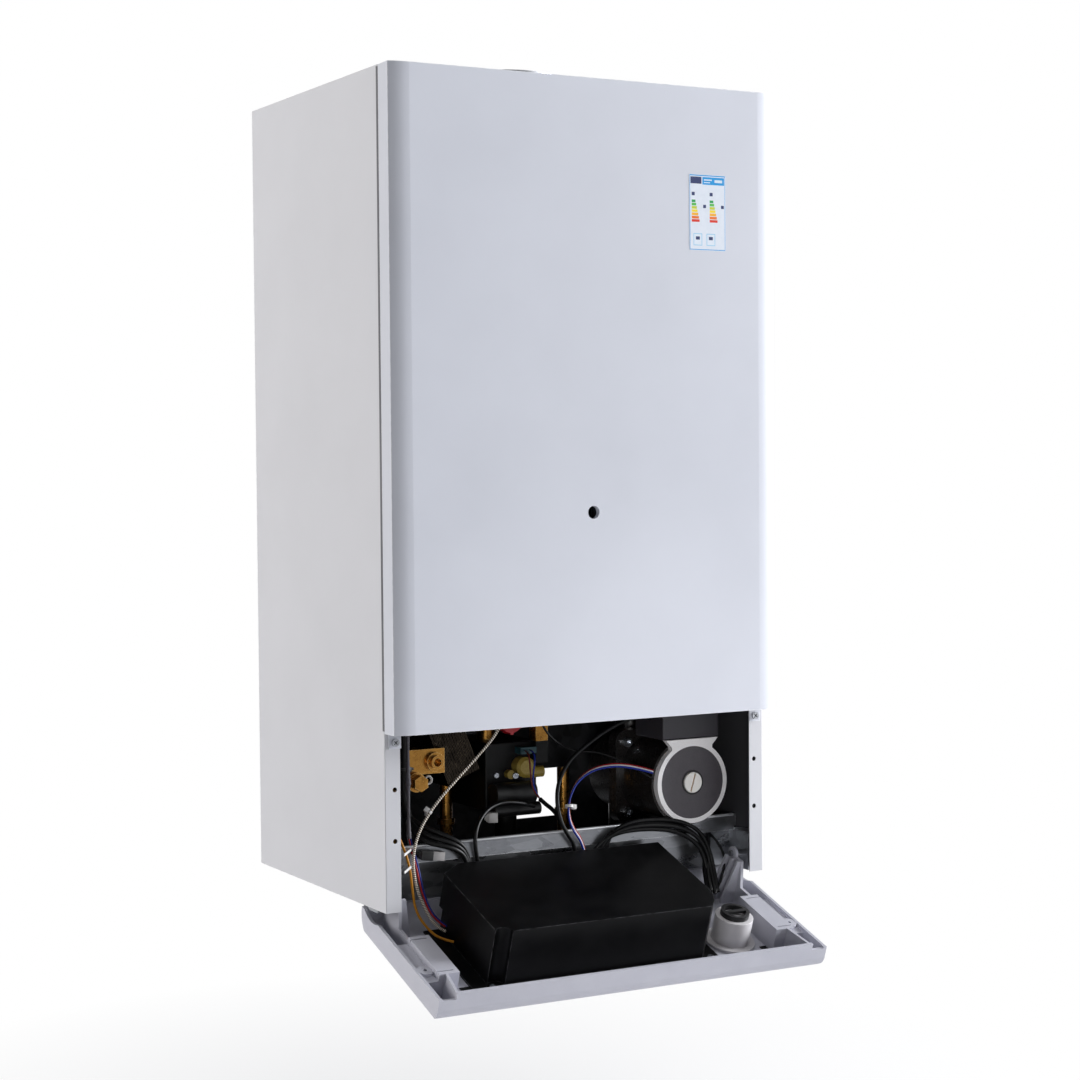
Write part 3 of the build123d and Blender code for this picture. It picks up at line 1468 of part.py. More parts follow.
# Two plates on the casing's sides carry the pins that the panel swings on
pivot_y = seam_y + pivot_set_back
with BuildPart() as hinge_brackets:
    for side in (-1, 1):
        outer = side * inner_half
        inner = side * (inner_half - bracket_plate_thickness)
        with BuildSketch(Plane.YZ.offset(outer)):
            with BuildLine():
                Polyline(
                    (-bracket_tab_front, bracket_tab_height),
                    (-bracket_tab_front, bracket_tab_height - bracket_plate_thickness),
                    (-bracket_front, bracket_tab_height - 2 * bracket_plate_thickness),
                    (-bracket_front, bracket_foot),
                    (-bracket_foot_back, bracket_foot),
                    (-bracket_heel_back, bracket_heel_height),
                    (-bracket_end_back, bracket_end_low),
                    (-bracket_end_back, bracket_end_high),
                    (-bracket_tab_back, bracket_tab_height),
                    close=True,
                )
            make_face()
        extrude(amount=-side * bracket_plate_thickness)
        block(
            (inner, inner - side * bracket_tab_reach),
            (-bracket_tab_front, -bracket_tab_back),
            (bracket_tab_height - bracket_plate_thickness, bracket_tab_height),
        )
        bar((outer, pivot_y, pivot_rise), (side * pin_end, pivot_y, pivot_rise), pin_radius)
hinge_brackets.part.label = "hinge_brackets"
export_step(hinge_brackets.part, "parts/hinge_brackets.step")


def panel_solid(inset):
    """Makes the panel's filled shape, drawn in by the inset from its outside."""
    side_half = half_width - inset
    depth = cover_depth - inset
    tail_middle = cover_depth - panel_tail
    lip_middle = panel_height - lip_radius
    lip_round = lip_radius - inset
    with BuildPart(mode=Mode.PRIVATE) as filled:
        with BuildSketch(panel_side):
            with BuildLine():
                tail = CenterArc((tail_middle, 0), depth, 180, -90)
                Line(tail @ 1, (lip_middle, depth))
                lip = CenterArc((lip_middle, depth - lip_round), lip_round, 90, -90)
                far = Line(lip @ 1, (lip_middle + lip_round, -casing_width))
                near = Line(far @ 1, (tail_middle - depth, -casing_width))
                Line(near @ 1, tail @ 0)
            make_face()
        extrude(amount=side_half, both=True)
        with BuildSketch(Plane(origin=(0, panel_y, panel_z), x_dir=out_of_the_panel, z_dir=up_the_panel)):
            make_face(shell_section(inset, -casing_width))
        extrude(amount=casing_height, both=True, mode=Mode.INTERSECT)
    return filled.part


# The panel's shell is open towards the casing, with blocks, ribs and hinge arms inside
floor_w = cover_depth - panel_wall
panel_outside = panel_solid(0)
panel_inside = panel_solid(panel_wall)
with BuildPart() as control_panel:
    add(panel_outside)
    add(panel_inside, mode=Mode.SUBTRACT)
    panel_block(
        (-casing_width, casing_width),
        (-casing_width, casing_width),
        (-2 * casing_width, seam_gap),
        mode=Mode.SUBTRACT,
    )
    lip_inner = panel_height - panel_wall
    panel_block((-lip_half, lip_half), (lip_inner, panel_height), (-lip_rise, cover_depth - lip_radius))
    for side in (-1, 1):
        # The lip is lower where the cover's tab and its screw come down
        panel_block(
            (side * lip_half, side * (half_width - panel_wall - notch_clearance)),
            (lip_inner - cut, panel_height + cut),
            (-lip_rise - cut, lip_notch),
            mode=Mode.SUBTRACT,
        )
        wing_inner = side * (half_width - panel_wall)
        panel_block(
            (side * block_inner, wing_inner), (block_back, block_front), (-block_rise, floor_w + cut)
        )
        for slot_u in (block_back + slot_inset, block_front - slot_inset - slot_width):
            panel_block(
                (side * (block_inner + slot_inset), wing_inner - side * (half_width - flange_x)),
                (slot_u, slot_u + slot_width),
                (-block_rise - cut, slot_depth - block_rise),
                mode=Mode.SUBTRACT,
            )
        # A rib runs from the block to the lip
        with BuildSketch(panel_face.offset(-rib_rise)) as rib:
            with BuildLine():
                Polyline(
                    (side * rib_foot_x, block_front - rib_width),
                    (side * (lip_half - rib_width), lip_inner + rib_width),
                    (side * lip_half, lip_inner + rib_width),
                    (side * (rib_foot_x + rib_width), block_front - rib_width),
                    close=True,
                )
            make_face()
        extrude(rib.sketch, amount=floor_w + rib_rise + panel_wall / 2)
    add(panel_outside, mode=Mode.INTERSECT)
    # Each block gives way to the casing's flange and its screws, but for a catch with a hole
    for side in (-1, 1):
        flange_inner = half_width - front_flange - notch_clearance
        panel_block(
            (side * flange_inner, side * (half_width - panel_wall)),
            (block_back - cut, block_front + cut),
            (-block_rise - cut, catch_top + panel_wall),
            mode=Mode.SUBTRACT,
        )
        panel_bar(side * flange_x, catch_u, catch_top, floor_w, catch_radius)
        hole_foot = catch_top + catch_hole_depth
        panel_bar(side * flange_x, catch_u, catch_top - cut, hole_foot, catch_hole_radius, Mode.SUBTRACT)
    # A scallop in each wing clears the casing's lower corner as the panel swings
    scallop_radius = math.hypot(pivot_set_back, pivot_rise) + scallop_margin
    for side in (-1, 1):
        start_x = side * (arm_outer + notch_clearance)
        with Locations(Plane(origin=(start_x, pivot_y, pivot_rise), z_dir=(side, 0, 0))):
            Cylinder(
                scallop_radius,
                casing_width,
                align=(Align.CENTER, Align.CENTER, Align.MIN),
                mode=Mode.SUBTRACT,
            )
    # Hinge arms with an eye for the pin, and gussets that stiffen them
    for side in (-1, 1):
        start_x = side * (arm_outer - arm_thickness) if side > 0 else side * arm_outer
        arm_side = Plane(origin=(start_x, panel_y, panel_z), x_dir=up_the_panel, z_dir=(1, 0, 0))
        with BuildSketch(arm_side) as arm:
            with Locations((pivot_rise, -pivot_set_back)):
                Circle(arm_eye_radius)
            with BuildLine():
                Polyline(
                    (pivot_rise - arm_eye_radius, -pivot_set_back),
                    (arm_tip_u, arm_tip_w),
                    (arm_knee_u, arm_knee_w),
                    (arm_foot_u, arm_knee_w),
                    (arm_foot_u, floor_w + panel_wall / 2),
                    (pivot_rise, floor_w + panel_wall / 2),
                    (pivot_rise - arm_eye_radius, floor_w - panel_wall),
                    close=True,
                )
            make_face()
            with Locations((pivot_rise, -pivot_set_back)):
                Circle(pin_radius + pin_clearance, mode=Mode.SUBTRACT)
        extrude(arm.sketch, amount=arm_thickness)
        for number in range(gusset_count):
            gusset_u = gusset_first_u + number * gusset_pitch
            plane = Plane(
                origin=panel_face.from_local_coords((0, gusset_u, 0)),
                x_dir=(1, 0, 0),
                z_dir=up_the_panel,
            )
            arm_face = side * (arm_outer - arm_thickness)
            top = pivot_set_back - arm_eye_radius / 2 if number < gusset_count - 1 else -arm_tip_w
            with BuildSketch(plane) as gusset:
                with BuildLine():
                    Polyline(
                        (arm_face, top),
                        (arm_face - side * gusset_top_reach, top),
                        (arm_face - side * gusset_reach, -gusset_foot_w),
                        (arm_face - side * gusset_reach, -floor_w - panel_wall / 2),
                        (arm_face, -floor_w - panel_wall / 2),
                        close=True,
                    )
                make_face()
            extrude(gusset.sketch, amount=gusset_thickness)
    for side in (-1, 1):
        eye = swung(seam_y + pivot_set_back, pivot_rise)
        start = (side * (arm_outer + cut), eye[0], eye[1])
        end = (side * (pin_end - notch_clearance), eye[0], eye[1])
        bar(start, end, pin_radius + pin_clearance, mode=Mode.SUBTRACT)
    # Openings in the floor for the gauge, the display and the buttons
    panel_bar(gauge_x, gauge_u, floor_w - cut, cover_depth + cut, gauge_hole_radius, Mode.SUBTRACT)
    with BuildSketch(panel_face.offset(cover_depth + display_stand_out - display_thickness)) as recess:
        with Locations((display_x, display_u)):
            RectangleRounded(display_width, display_height, display_corner)
    extrude(recess.sketch, amount=cut + display_thickness, mode=Mode.SUBTRACT)
    panel_block(
        (display_x - display_width / 2 + display_ledge, display_x + display_width / 2 - display_ledge),
        (display_u - display_height / 2 + display_ledge, display_u + display_height / 2 - display_ledge),
        (floor_w - cut, cover_depth + cut),
        mode=Mode.SUBTRACT,
    )
    for number in range(len(button_names)):
        x = display_x + (number - (len(button_names) - 1) / 2) * button_pitch
        hole_radius = button_radius + button_clearance
        panel_bar(x, button_u, floor_w - cut, cover_depth + cut, hole_radius, Mode.SUBTRACT)
    # Posts for the board, and holes for the electronics cover's screws
    board_left = case_left + board_margin
    board_right = case_right - board_margin
    board_back = case_step_u + board_margin
    board_front = case_front - board_margin
    for x in (board_left + board_post_inset, board_right - board_post_inset):
        for u in (board_back + board_post_inset, board_front - board_post_inset):
            panel_bar(x, u, board_w + board_thickness, floor_w + panel_wall / 2, board_post_radius)
    screw_u = case_front + case_screw_inset
    screw_places = (case_left + case_screw_left, case_right - case_screw_right)
    for x in screw_places:
        panel_bar(x, screw_u, floor_w - cut, floor_w + panel_wall / 2, case_screw_radius, Mode.SUBTRACT)
control_panel.part.label = "control_panel"
export_step(control_panel.part, "parts/control_panel.step")


def case_outline(inset):
    """Draws the electronics cover from above, drawn in by the inset."""
    left = case_left + inset
    right = case_right - inset
    back = case_back + inset
    front = case_front - inset
    with BuildLine() as outline:
        walls = Polyline(
            (right, front - case_bow_u),
            (right, back),
            (left + case_back_cut_x, back),
            (left, back + case_back_cut_u),
            (left, front),
            (right - case_bow_x, front),
        )
        bow_middle = (
            right - (1 - case_bow_share) * case_bow_x,
            front - (1 - case_bow_share) * case_bow_u - case_bow_x * (1 - case_bow_share) / 2,
        )
        ThreePointArc(walls @ 1, bow_middle, walls @ 0)
    return outline.line


# The black cover over the electronics is a deep tray with a step that clears the panel's tail
with BuildPart() as electronics_cover:
    with BuildSketch(panel_face.offset(case_top)) as outside:
        make_face(case_outline(0))
    extrude(outside.sketch, amount=floor_w - case_top)
    lug_w = floor_w - case_lug_thickness
    channel_x = case_left + case_channel_x
    channel_u = case_front + case_channel_u
    panel_bar(channel_x, channel_u, case_top - cut, floor_w + cut, case_channel_radius, Mode.SUBTRACT)
    panel_block(
        (case_left - cut, case_right + cut),
        (case_back - cut, case_step_u),
        (case_step_w, floor_w + cut),
        mode=Mode.SUBTRACT,
    )
    panel_block(
        (case_left - case_lug_side, case_right + case_wall),
        (case_step_u, case_front + case_lug_front),
        (lug_w, floor_w),
    )
    with BuildSketch(panel_face.offset(case_top + case_wall)) as hollow:
        make_face(case_outline(case_wall))
        with Locations((channel_x, channel_u)):
            Circle(case_channel_radius + case_wall, mode=Mode.SUBTRACT)
    extrude(hollow.sketch, amount=case_step_w - case_wall - case_top - case_wall, mode=Mode.SUBTRACT)
    with BuildSketch(panel_face.offset(case_step_w - case_wall)) as lower_hollow:
        make_face(case_outline(case_wall))
        with Locations((channel_x, channel_u)):
            Circle(case_channel_radius + case_wall, mode=Mode.SUBTRACT)
        with Locations((case_left - cut, case_back - cut)):
            Rectangle(
                casing_width,
                case_step_u + case_wall - case_back + cut,
                align=(Align.MIN, Align.MIN),
                mode=Mode.SUBTRACT,
            )
    extrude(lower_hollow.sketch, amount=floor_w + cut - case_step_w + case_wall, mode=Mode.SUBTRACT)
    for x in screw_places:
        hole_radius = case_screw_radius + shaft_clearance
        panel_bar(x, screw_u, lug_w - cut, floor_w + cut, hole_radius, Mode.SUBTRACT)
electronics_cover.part.label = "electronics_cover"
export_step(electronics_cover.part, "parts/electronics_cover.step")

with BuildPart() as case_screws:
    for x in screw_places:
        panel_bar(x, screw_u, lug_w - case_screw_head_depth, lug_w, case_screw_head)
        panel_bar(x, screw_u, lug_w, floor_w + panel_wall / 2, case_screw_radius)
        with BuildSketch(panel_face.offset(lug_w - case_screw_head_depth)) as cross:
            with Locations((x, screw_u)):
                Rectangle(2 * cross_reach, cross_width, rotation=30)
                Rectangle(2 * cross_reach, cross_width, rotation=120)
        extrude(cross.sketch, amount=cross_depth, mode=Mode.SUBTRACT)
case_screws.part.label = "case_screws"
export_step(case_screws.part, "parts/case_screws.step")

# The board stands on posts, with the keys' switches in front and tall parts behind
with BuildPart() as control_board:
    panel_block((board_left, board_right), (board_back, board_front), (board_w, board_w + board_thickness))
    for number in range(len(button_names)):
        x = display_x + (number - (len(button_names) - 1) / 2) * button_pitch
        face_w = board_w + board_thickness
        panel_block(
            (x - switch_cube / 2, x + switch_cube / 2),
            (button_u - switch_cube / 2, button_u + switch_cube / 2),
            (face_w, face_w + switch_cube * 3 / 4),
        )
    side_x = board_left + board_post_inset + board_margin
    panel_block(
        (side_x, side_x + transformer_side),
        (board_back + board_margin, board_back + board_margin + transformer_side),
        (board_w - transformer_height, board_w),
    )
    for number in range(relay_count):
        x = side_x + transformer_side + board_margin + number * relay_pitch
        panel_block(
            (x, x + relay_length),
            (board_back + board_margin, board_back + board_margin + relay_width),
            (board_w - relay_height, board_w),
        )
control_board.part.label = "control_board"
export_step(control_board.part, "parts/control_board.step")

# The gauge drops into the floor from inside; its dial and lens face out
with BuildPart() as gauge:
    dial_w = cover_depth + gauge_bezel_height - gauge_dial_depth
    panel_bar(gauge_x, gauge_u, gauge_top, floor_w, gauge_radius)
    panel_bar(gauge_x, gauge_u, floor_w - gauge_foot_thickness, floor_w, gauge_foot_radius)
    panel_bar(gauge_x, gauge_u, floor_w, cover_depth + cut / 4, gauge_hole_radius - gauge_fit)
    lens_top = cover_depth + gauge_bezel_height
    panel_bar(gauge_x, gauge_u, cover_depth + gauge_fit / 2, lens_top, gauge_bezel_radius)
    panel_bar(gauge_x, gauge_u, dial_w, cover_depth + cut, gauge_dial_radius, Mode.SUBTRACT)
    shaft_foot = dial_w - needle_shaft_length
    panel_bar(gauge_x, gauge_u, shaft_foot, dial_w, needle_shaft_radius + shaft_clearance, Mode.SUBTRACT)
    panel_bar(gauge_x, gauge_u, lens_top - gauge_lens_thickness, lens_top, gauge_dial_radius)
gauge.part.label = "gauge"
export_step(gauge.part, "parts/gauge.step")

with BuildPart() as gauge_needle:
    needle_w = dial_w + needle_gap
    panel_bar(gauge_x, gauge_u, dial_w - needle_shaft_length + needle_gap, needle_w, needle_shaft_radius)
    panel_bar(gauge_x, gauge_u, needle_w, needle_w + needle_thickness, needle_hub_radius)
    panel_block(
        (gauge_x - needle_length, gauge_x + needle_tail),
        (gauge_u - needle_width / 2, gauge_u + needle_width / 2),
        (needle_w, needle_w + needle_thickness),
    )
gauge_needle.part.label = "gauge_needle"
export_step(gauge_needle.part, "parts/gauge_needle.step")

with BuildPart() as gauge_clip:
    panel_bar(gauge_x, gauge_u, gauge_top - clip_depth, gauge_top, clip_outer_radius)
    clip_foot = gauge_top - clip_depth - cut
    panel_bar(gauge_x, gauge_u, clip_foot, gauge_top + cut, clip_inner_radius, Mode.SUBTRACT)
    panel_block(
        (gauge_x - clip_outer_radius + cut, gauge_x + clip_outer_radius - cut),
        (gauge_u - clip_bar_width / 2, gauge_u + clip_bar_width / 2),
        (gauge_top - clip_depth, gauge_top - clip_depth / 2),
    )
gauge_clip.part.label = "gauge_clip"
export_step(gauge_clip.part, "parts/gauge_clip.step")

with BuildPart() as display_window:
    with BuildSketch(panel_face.offset(cover_depth + display_stand_out - display_thickness)) as pane:
        with Locations((display_x, display_u)):
            pane_width = display_width - 2 * display_fit
            pane_height = display_height - 2 * display_fit
            RectangleRounded(pane_width, pane_height, display_corner)
    extrude(pane.sketch, amount=display_thickness)
display_window.part.label = "display_window"
export_step(display_window.part, "parts/display_window.step")

# Three keys with flanges that keep them in the floor and stems over the board's switches
for number, button_name in enumerate(button_names):
    with BuildPart() as button:
        x = display_x + (number - (len(button_names) - 1) / 2) * button_pitch
        flange_top = floor_w - button_flange_gap
        flange_foot = flange_top - button_flange_thickness
        switch_top = board_w + board_thickness + switch_cube * 3 / 4
        panel_bar(x, button_u, flange_foot, cover_depth + button_stand_out, button_radius)
        outwards = Axis(panel_face.origin, out_of_the_panel)
        fillet(button.edges().filter_by(GeomType.CIRCLE).sort_by(outwards)[-1], button_stand_out / 2)
        panel_bar(x, button_u, flange_foot, flange_top, button_radius + button_flange)
        panel_bar(x, button_u, switch_top + switch_gap, flange_foot, button_stem_radius)
    button.part.label = button_name
    export_step(button.part, "parts/" + button_name + ".step")


def cord_radii(points):
    """Gives each corner of a route the radius that its two runs allow."""
    corners = [Vector(*point) for point in points]
    radii = []
    for number in range(1, len(corners) - 1):
        before = corners[number] - corners[number - 1]
        after = corners[number + 1] - corners[number]
        turn = math.radians(before.get_angle(after))
        radii.append(arc_share * min(before.length, after.length) / math.tan(turn / 2))
    return radii


def cord_tube(points, radius):
    """Adds a cord's tube: straight runs joined by tangent arcs."""
    with BuildLine() as route:
        FilletPolyline(*points, radius=cord_radii(points))
    with BuildSketch(Plane(origin=route.line @ 0, z_dir=route.line % 0)) as section:
        Circle(radius)
    sweep(section.sketch, path=route.line)
    length = sum(edge.length for edge in route.edges())
    radii = ", ".join(f"{value:.0f}" for value in cord_radii(points))
    print(f"cord of radius {radius}: length {length:.0f}, radii {radii}")
    return section.sketch.area * length


# The off-white lead comes down from the chamber and turns in under the electronics cover
braided_route = (
    (-52, -262, 235.5),
    (-53, -262, 208),
    (-58, -261, 179),
    (-69, -259, 150),
    (-88, -258, 130),
    (-113, -258.5, 108),
    (-136, -258, 86),
    (-152, -258.5, 64),
    (-158, -258, 41),
    (-156.5, -259.5, 17),
    (-150, -264, -4),
    (-142, -269, -21),
    (-132, -271, -26.5),
)
with BuildPart() as braided_lead:
    expected = cord_tube(braided_route, braid_radius)
print(f"braided_lead: volume share {braided_lead.part.volume / expected:.4f}")
braided_lead.part.label = "braided_lead"
export_step(braided_lead.part, "parts/braided_lead.step")

# The amber lead runs beside it from the flow group's sensor
amber_route = (
    (-162.5, -190, 124),
    (-170, -204, 118),
    (-174, -224, 104),
    (-175, -243, 84),
    (-171, -257, 61),
    (-164, -264, 37),
    (-162, -265, 14),
    (-160, -267, -6),
    (-153, -274, -20),
    (-144, -282, -30),
    (-132, -287, -33),
)
with BuildPart() as amber_lead:
    expected = cord_tube(amber_route, amber_radius)
print(f"amber_lead: volume share {amber_lead.part.volume / expected:.4f}")
amber_lead.part.label = "amber_lead"
export_step(amber_lead.part, "parts/amber_lead.step")

# Black leads: the pump's cable, the coils' lead, a thin one and the bundle behind the cover
pump_cable_route = (
    (110.4, -232, 150),
    (88, -233, 149),
    (62, -236, 141),
    (36, -239, 128),
    (13, -241, 113),
    (0, -245, 94),
    (-5, -251, 76),
    (-2, -254, 58),
    (6, -252.5, 46),
    (14, -250.5, 36),
    (18, -246.5, 24),
)
coil_route = (
    (-6, -209, 68),
    (-15, -215, 71),
    (-29, -220, 75),
    (-50, -228, 78),
    (-69, -236, 75),
    (-83, -244, 66),
    (-91, -250.5, 54),
    (-90, -250, 40),
    (-86, -247, 26),
)
thin_route = (
    (-22, -238, 235.5),
    (-21, -238, 206),
    (-19, -237, 176),
    (-12, -234, 150),
    (3, -229, 133),
    (26, -228, 120),
    (50, -232, 119),
    (71, -238, 110),
    (88, -246, 100),
    (100, -253, 91),
)
bundle_route = (
    (46, -250.5, 34.5),
    (54, -253, 43),
    (72, -255, 48.5),
    (100, -255, 48),
    (126, -256, 44),
    (147, -257, 33),
    (158, -258, 15),
    (160, -262, -6),
    (157, -272, -21),
)
with BuildPart() as black_leads:
    expected = cord_tube(pump_cable_route, cable_radius)
    expected += cord_tube(coil_route, loop_radius)
    expected += cord_tube(thin_route, thin_radius)
    expected += cord_tube(bundle_route, bundle_radius)
print(f"black_leads: volume share {black_leads.part.volume / expected:.4f}")
black_leads.part.label = "black_leads"
export_step(black_leads.part, "parts/black_leads.step")

# Three coloured strands go from the pump to the electronics cover
strand_route = (
    (100.5, -252, 98),
    (82, -249, 104),
    (60, -245, 107),
    (38, -243, 104),
    (20, -245, 94),
    (9, -250, 79),
    (6, -254, 63),
    (12, -253, 50),
    (22, -250.5, 39),
    (27, -247.5, 27),
)
strand_shifts = ((0, 0, 0), (strand_across, strand_behind, 0), (-strand_across, -strand_behind, 0))
with BuildPart() as coloured_leads:
    expected = 0
    for shift in strand_shifts:
        shifted = [tuple(a + b for a, b in zip(point, shift)) for point in strand_route]
        expected += cord_tube(shifted, strand_radius)
print(f"coloured_leads: volume share {coloured_leads.part.volume / expected:.4f}")
coloured_leads.part.label = "coloured_leads"
export_step(coloured_leads.part, "parts/coloured_leads.step")
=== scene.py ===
# %% [markdown]
# # Dressing a wall-mounted gas boiler
# The boiler hangs with its control panel folded down, so that the pump, the brass group and the
# gas valve show in the service bay. The CAD model gives every piece its true size and place.
# This lesson gives each visible surface its finish, turns the plain tubes into real leads, and
# adds the small things that a drawing leaves out: ties, grommets, threads, screws and dial marks.

from math import cos, pi, radians, sin

import bmesh
import bpy
from mathutils import Matrix, Vector


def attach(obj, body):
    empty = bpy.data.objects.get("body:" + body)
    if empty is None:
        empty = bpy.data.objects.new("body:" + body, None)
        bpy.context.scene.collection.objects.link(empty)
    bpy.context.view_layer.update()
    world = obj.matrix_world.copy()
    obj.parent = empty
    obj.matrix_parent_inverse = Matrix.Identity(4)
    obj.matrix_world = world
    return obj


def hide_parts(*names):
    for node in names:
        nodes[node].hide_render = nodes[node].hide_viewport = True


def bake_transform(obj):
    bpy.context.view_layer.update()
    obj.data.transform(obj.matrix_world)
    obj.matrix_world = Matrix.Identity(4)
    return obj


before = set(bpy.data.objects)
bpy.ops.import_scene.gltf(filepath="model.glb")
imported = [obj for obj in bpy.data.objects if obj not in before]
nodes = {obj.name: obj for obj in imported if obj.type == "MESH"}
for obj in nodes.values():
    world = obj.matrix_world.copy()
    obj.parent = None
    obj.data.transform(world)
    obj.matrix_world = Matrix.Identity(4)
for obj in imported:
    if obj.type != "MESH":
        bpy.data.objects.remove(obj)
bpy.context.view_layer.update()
print("pieces in the frame:", len(nodes))

# %% [markdown]
# ## Colours as they are seen
# Paint charts and photographs give colours as the eye sees them. Blender's shaders want the
# light behind them, so each value is turned from one to the other before it is used.


# %% From seen colour to light
def seen(red, green, blue):
    """Turns a colour from 0 to 255 as seen into the values that a shader takes."""
    light = []
    for value in (red, green, blue):
        share = value / 255
        light.append(share / 12.92 if share <= 0.04045 else ((share + 0.055) / 1.055) ** 2.4)
    return (*light, 1.0)


# %% [markdown]
# ## Effects that several finishes share
# Orange peel in paint, the crystals of zinc, brush lines and moulded grain are patterns. Each is
# built once as a node group with the same inputs, so any finish can use it at its own scale. A
# group gives a mask for colour and roughness, and a height for bump.


# %% Start a group with the shared sockets
def new_effect(name):
    """Makes a shader group that takes a place and a size and gives a mask and a height."""
    tree = bpy.data.node_groups.new(name, "ShaderNodeTree")
    tree.interface.new_socket("Place", in_out="INPUT", socket_type="NodeSocketVector")
    tree.interface.new_socket("Size", in_out="INPUT", socket_type="NodeSocketFloat")
    tree.interface.new_socket("Stretch", in_out="INPUT", socket_type="NodeSocketVector")
    tree.interface.new_socket("Mask", in_out="OUTPUT", socket_type="NodeSocketFloat")
    tree.interface.new_socket("Height", in_out="OUTPUT", socket_type="NodeSocketFloat")
    source = tree.nodes.new("NodeGroupInput")
    stretch = tree.nodes.new("ShaderNodeVectorMath")
    stretch.operation = "MULTIPLY"
    tree.links.new(source.outputs["Place"], stretch.inputs[0])
    tree.links.new(source.outputs["Stretch"], stretch.inputs[1])
    return tree, source, stretch.outputs[0], tree.nodes.new("NodeGroupOutput")


def noise(tree, place, size, detail, rough=0.5):
    """Adds a noise texture and returns its value."""
    node = tree.nodes.new("ShaderNodeTexNoise")
    node.inputs["Detail"].default_value = detail
    node.inputs["Roughness"].default_value = rough
    tree.links.new(place, node.inputs["Vector"])
    tree.links.new(size, node.inputs["Scale"])
    return node.outputs["Fac"]


def cells(tree, place, size, feature="F1"):
    """Adds a Voronoi texture and returns its node."""
    node = tree.nodes.new("ShaderNodeTexVoronoi")
    node.feature = feature
    tree.links.new(place, node.inputs["Vector"])
    tree.links.new(size, node.inputs["Scale"])
    return node


def sums(tree, operation, first, second=0):
    """Adds a math node; each side is a socket or a plain number."""
    node = tree.nodes.new("ShaderNodeMath")
    node.operation = operation
    for slot, value in enumerate((first, second)):
        if isinstance(value, (int, float)):
            node.inputs[slot].default_value = value
        else:
            tree.links.new(value, node.inputs[slot])
    return node.outputs[0]


def ramp(tree, value, low, high, to_low=0.0, to_high=1.0):
    """Maps a value from one span to another."""
    node = tree.nodes.new("ShaderNodeMapRange")
    tree.links.new(value, node.inputs["Value"])
    node.inputs["From Min"].default_value = low
    node.inputs["From Max"].default_value = high
    node.inputs["To Min"].default_value = to_low
    node.inputs["To Max"].default_value = to_high
    return node.outputs[0]


def times(tree, first, second):
    """Multiplies two values."""
    return sums(tree, "MULTIPLY", first, second)


def weighed(tree, first, second, share):
    """Adds two values, the first by its share and the second by the rest."""
    return sums(tree, "ADD", times(tree, first, share), times(tree, second, 1 - share))


# %% Powder coat: orange peel over slow changes of tone
peel, source, place, out = new_effect("orange peel")
fine = noise(peel, place, source.outputs["Size"], 2)
slow = noise(peel, place, times(peel, source.outputs["Size"], 0.012), 3)
peel.links.new(ramp(peel, slow, 0.3, 0.7), out.inputs["Mask"])
peel.links.new(fine, out.inputs["Height"])

# %% Moulded plastic: a leathery grain of small cells
grain, source, place, out = new_effect("moulded grain")
cell = cells(grain, place, source.outputs["Size"], "SMOOTH_F1")
slow = noise(grain, place, times(grain, source.outputs["Size"], 0.03), 4)
grain.links.new(ramp(grain, slow, 0.3, 0.7), out.inputs["Mask"])
grain.links.new(cell.outputs["Distance"], out.inputs["Height"])

# %% Galvanised sheet: flat crystals, each with its own brightness
zinc, source, place, out = new_effect("zinc crystals")
cell = cells(zinc, place, source.outputs["Size"])
split = zinc.nodes.new("ShaderNodeSeparateColor")
zinc.links.new(cell.outputs["Color"], split.inputs[0])
streak = noise(zinc, place, times(zinc, source.outputs["Size"], 3.0), 5, 0.7)
tone = weighed(zinc, split.outputs[0], streak, 0.55)
zinc.links.new(tone, out.inputs["Mask"])
zinc.links.new(tone, out.inputs["Height"])

# %% Machined and drawn metal: lines along one direction
lines, source, place, out = new_effect("drawn lines")
line = noise(lines, place, source.outputs["Size"], 6, 0.65)
blot = noise(lines, place, times(lines, source.outputs["Size"], 0.15), 3)
tone = weighed(lines, line, blot, 0.6)
lines.links.new(ramp(lines, tone, 0.35, 0.65), out.inputs["Mask"])
lines.links.new(line, out.inputs["Height"])

# %% Castings: a sandy skin with darker hollows
cast, source, place, out = new_effect("cast skin")
sand = noise(cast, place, source.outputs["Size"], 8, 0.7)
pits = cells(cast, place, times(cast, source.outputs["Size"], 0.6))
skin = weighed(cast, sand, pits.outputs["Distance"], 0.7)
cast.links.new(ramp(cast, sand, 0.32, 0.68), out.inputs["Mask"])
cast.links.new(skin, out.inputs["Height"])
print("shared effects:", len(bpy.data.node_groups))

# %% [markdown]
# ## Worn edges and painted edge highlights
# Paint thins and metal brightens where two faces meet, and a sharp edge catches a thin line of
# light, so the edge tone paints both: wear and a highlight. The Bevel node gives the normal that
# the edge would have if it were rounded. Where that differs from the true normal there is an edge,
# and the difference becomes a mask, broken up by noise.

# %% Edge mask, for wear and for a painted highlight along the edges
wear_and_highlight = bpy.data.node_groups.new("edge rub", "ShaderNodeTree")
wear_and_highlight.interface.new_socket("Width", in_out="INPUT", socket_type="NodeSocketFloat")
wear_and_highlight.interface.new_socket("Place", in_out="INPUT", socket_type="NodeSocketVector")
wear_and_highlight.interface.new_socket("Mask", in_out="OUTPUT", socket_type="NodeSocketFloat")
source, out = wear_and_highlight.nodes.new("NodeGroupInput"), wear_and_highlight.nodes.new("NodeGroupOutput")
rounded = wear_and_highlight.nodes.new("ShaderNodeBevel")
rounded.samples = 4
wear_and_highlight.links.new(source.outputs["Width"], rounded.inputs["Radius"])
true_normal = wear_and_highlight.nodes.new("ShaderNodeNewGeometry")
turn = wear_and_highlight.nodes.new("ShaderNodeVectorMath")
turn.operation = "DOT_PRODUCT"
wear_and_highlight.links.new(rounded.outputs[0], turn.inputs[0])
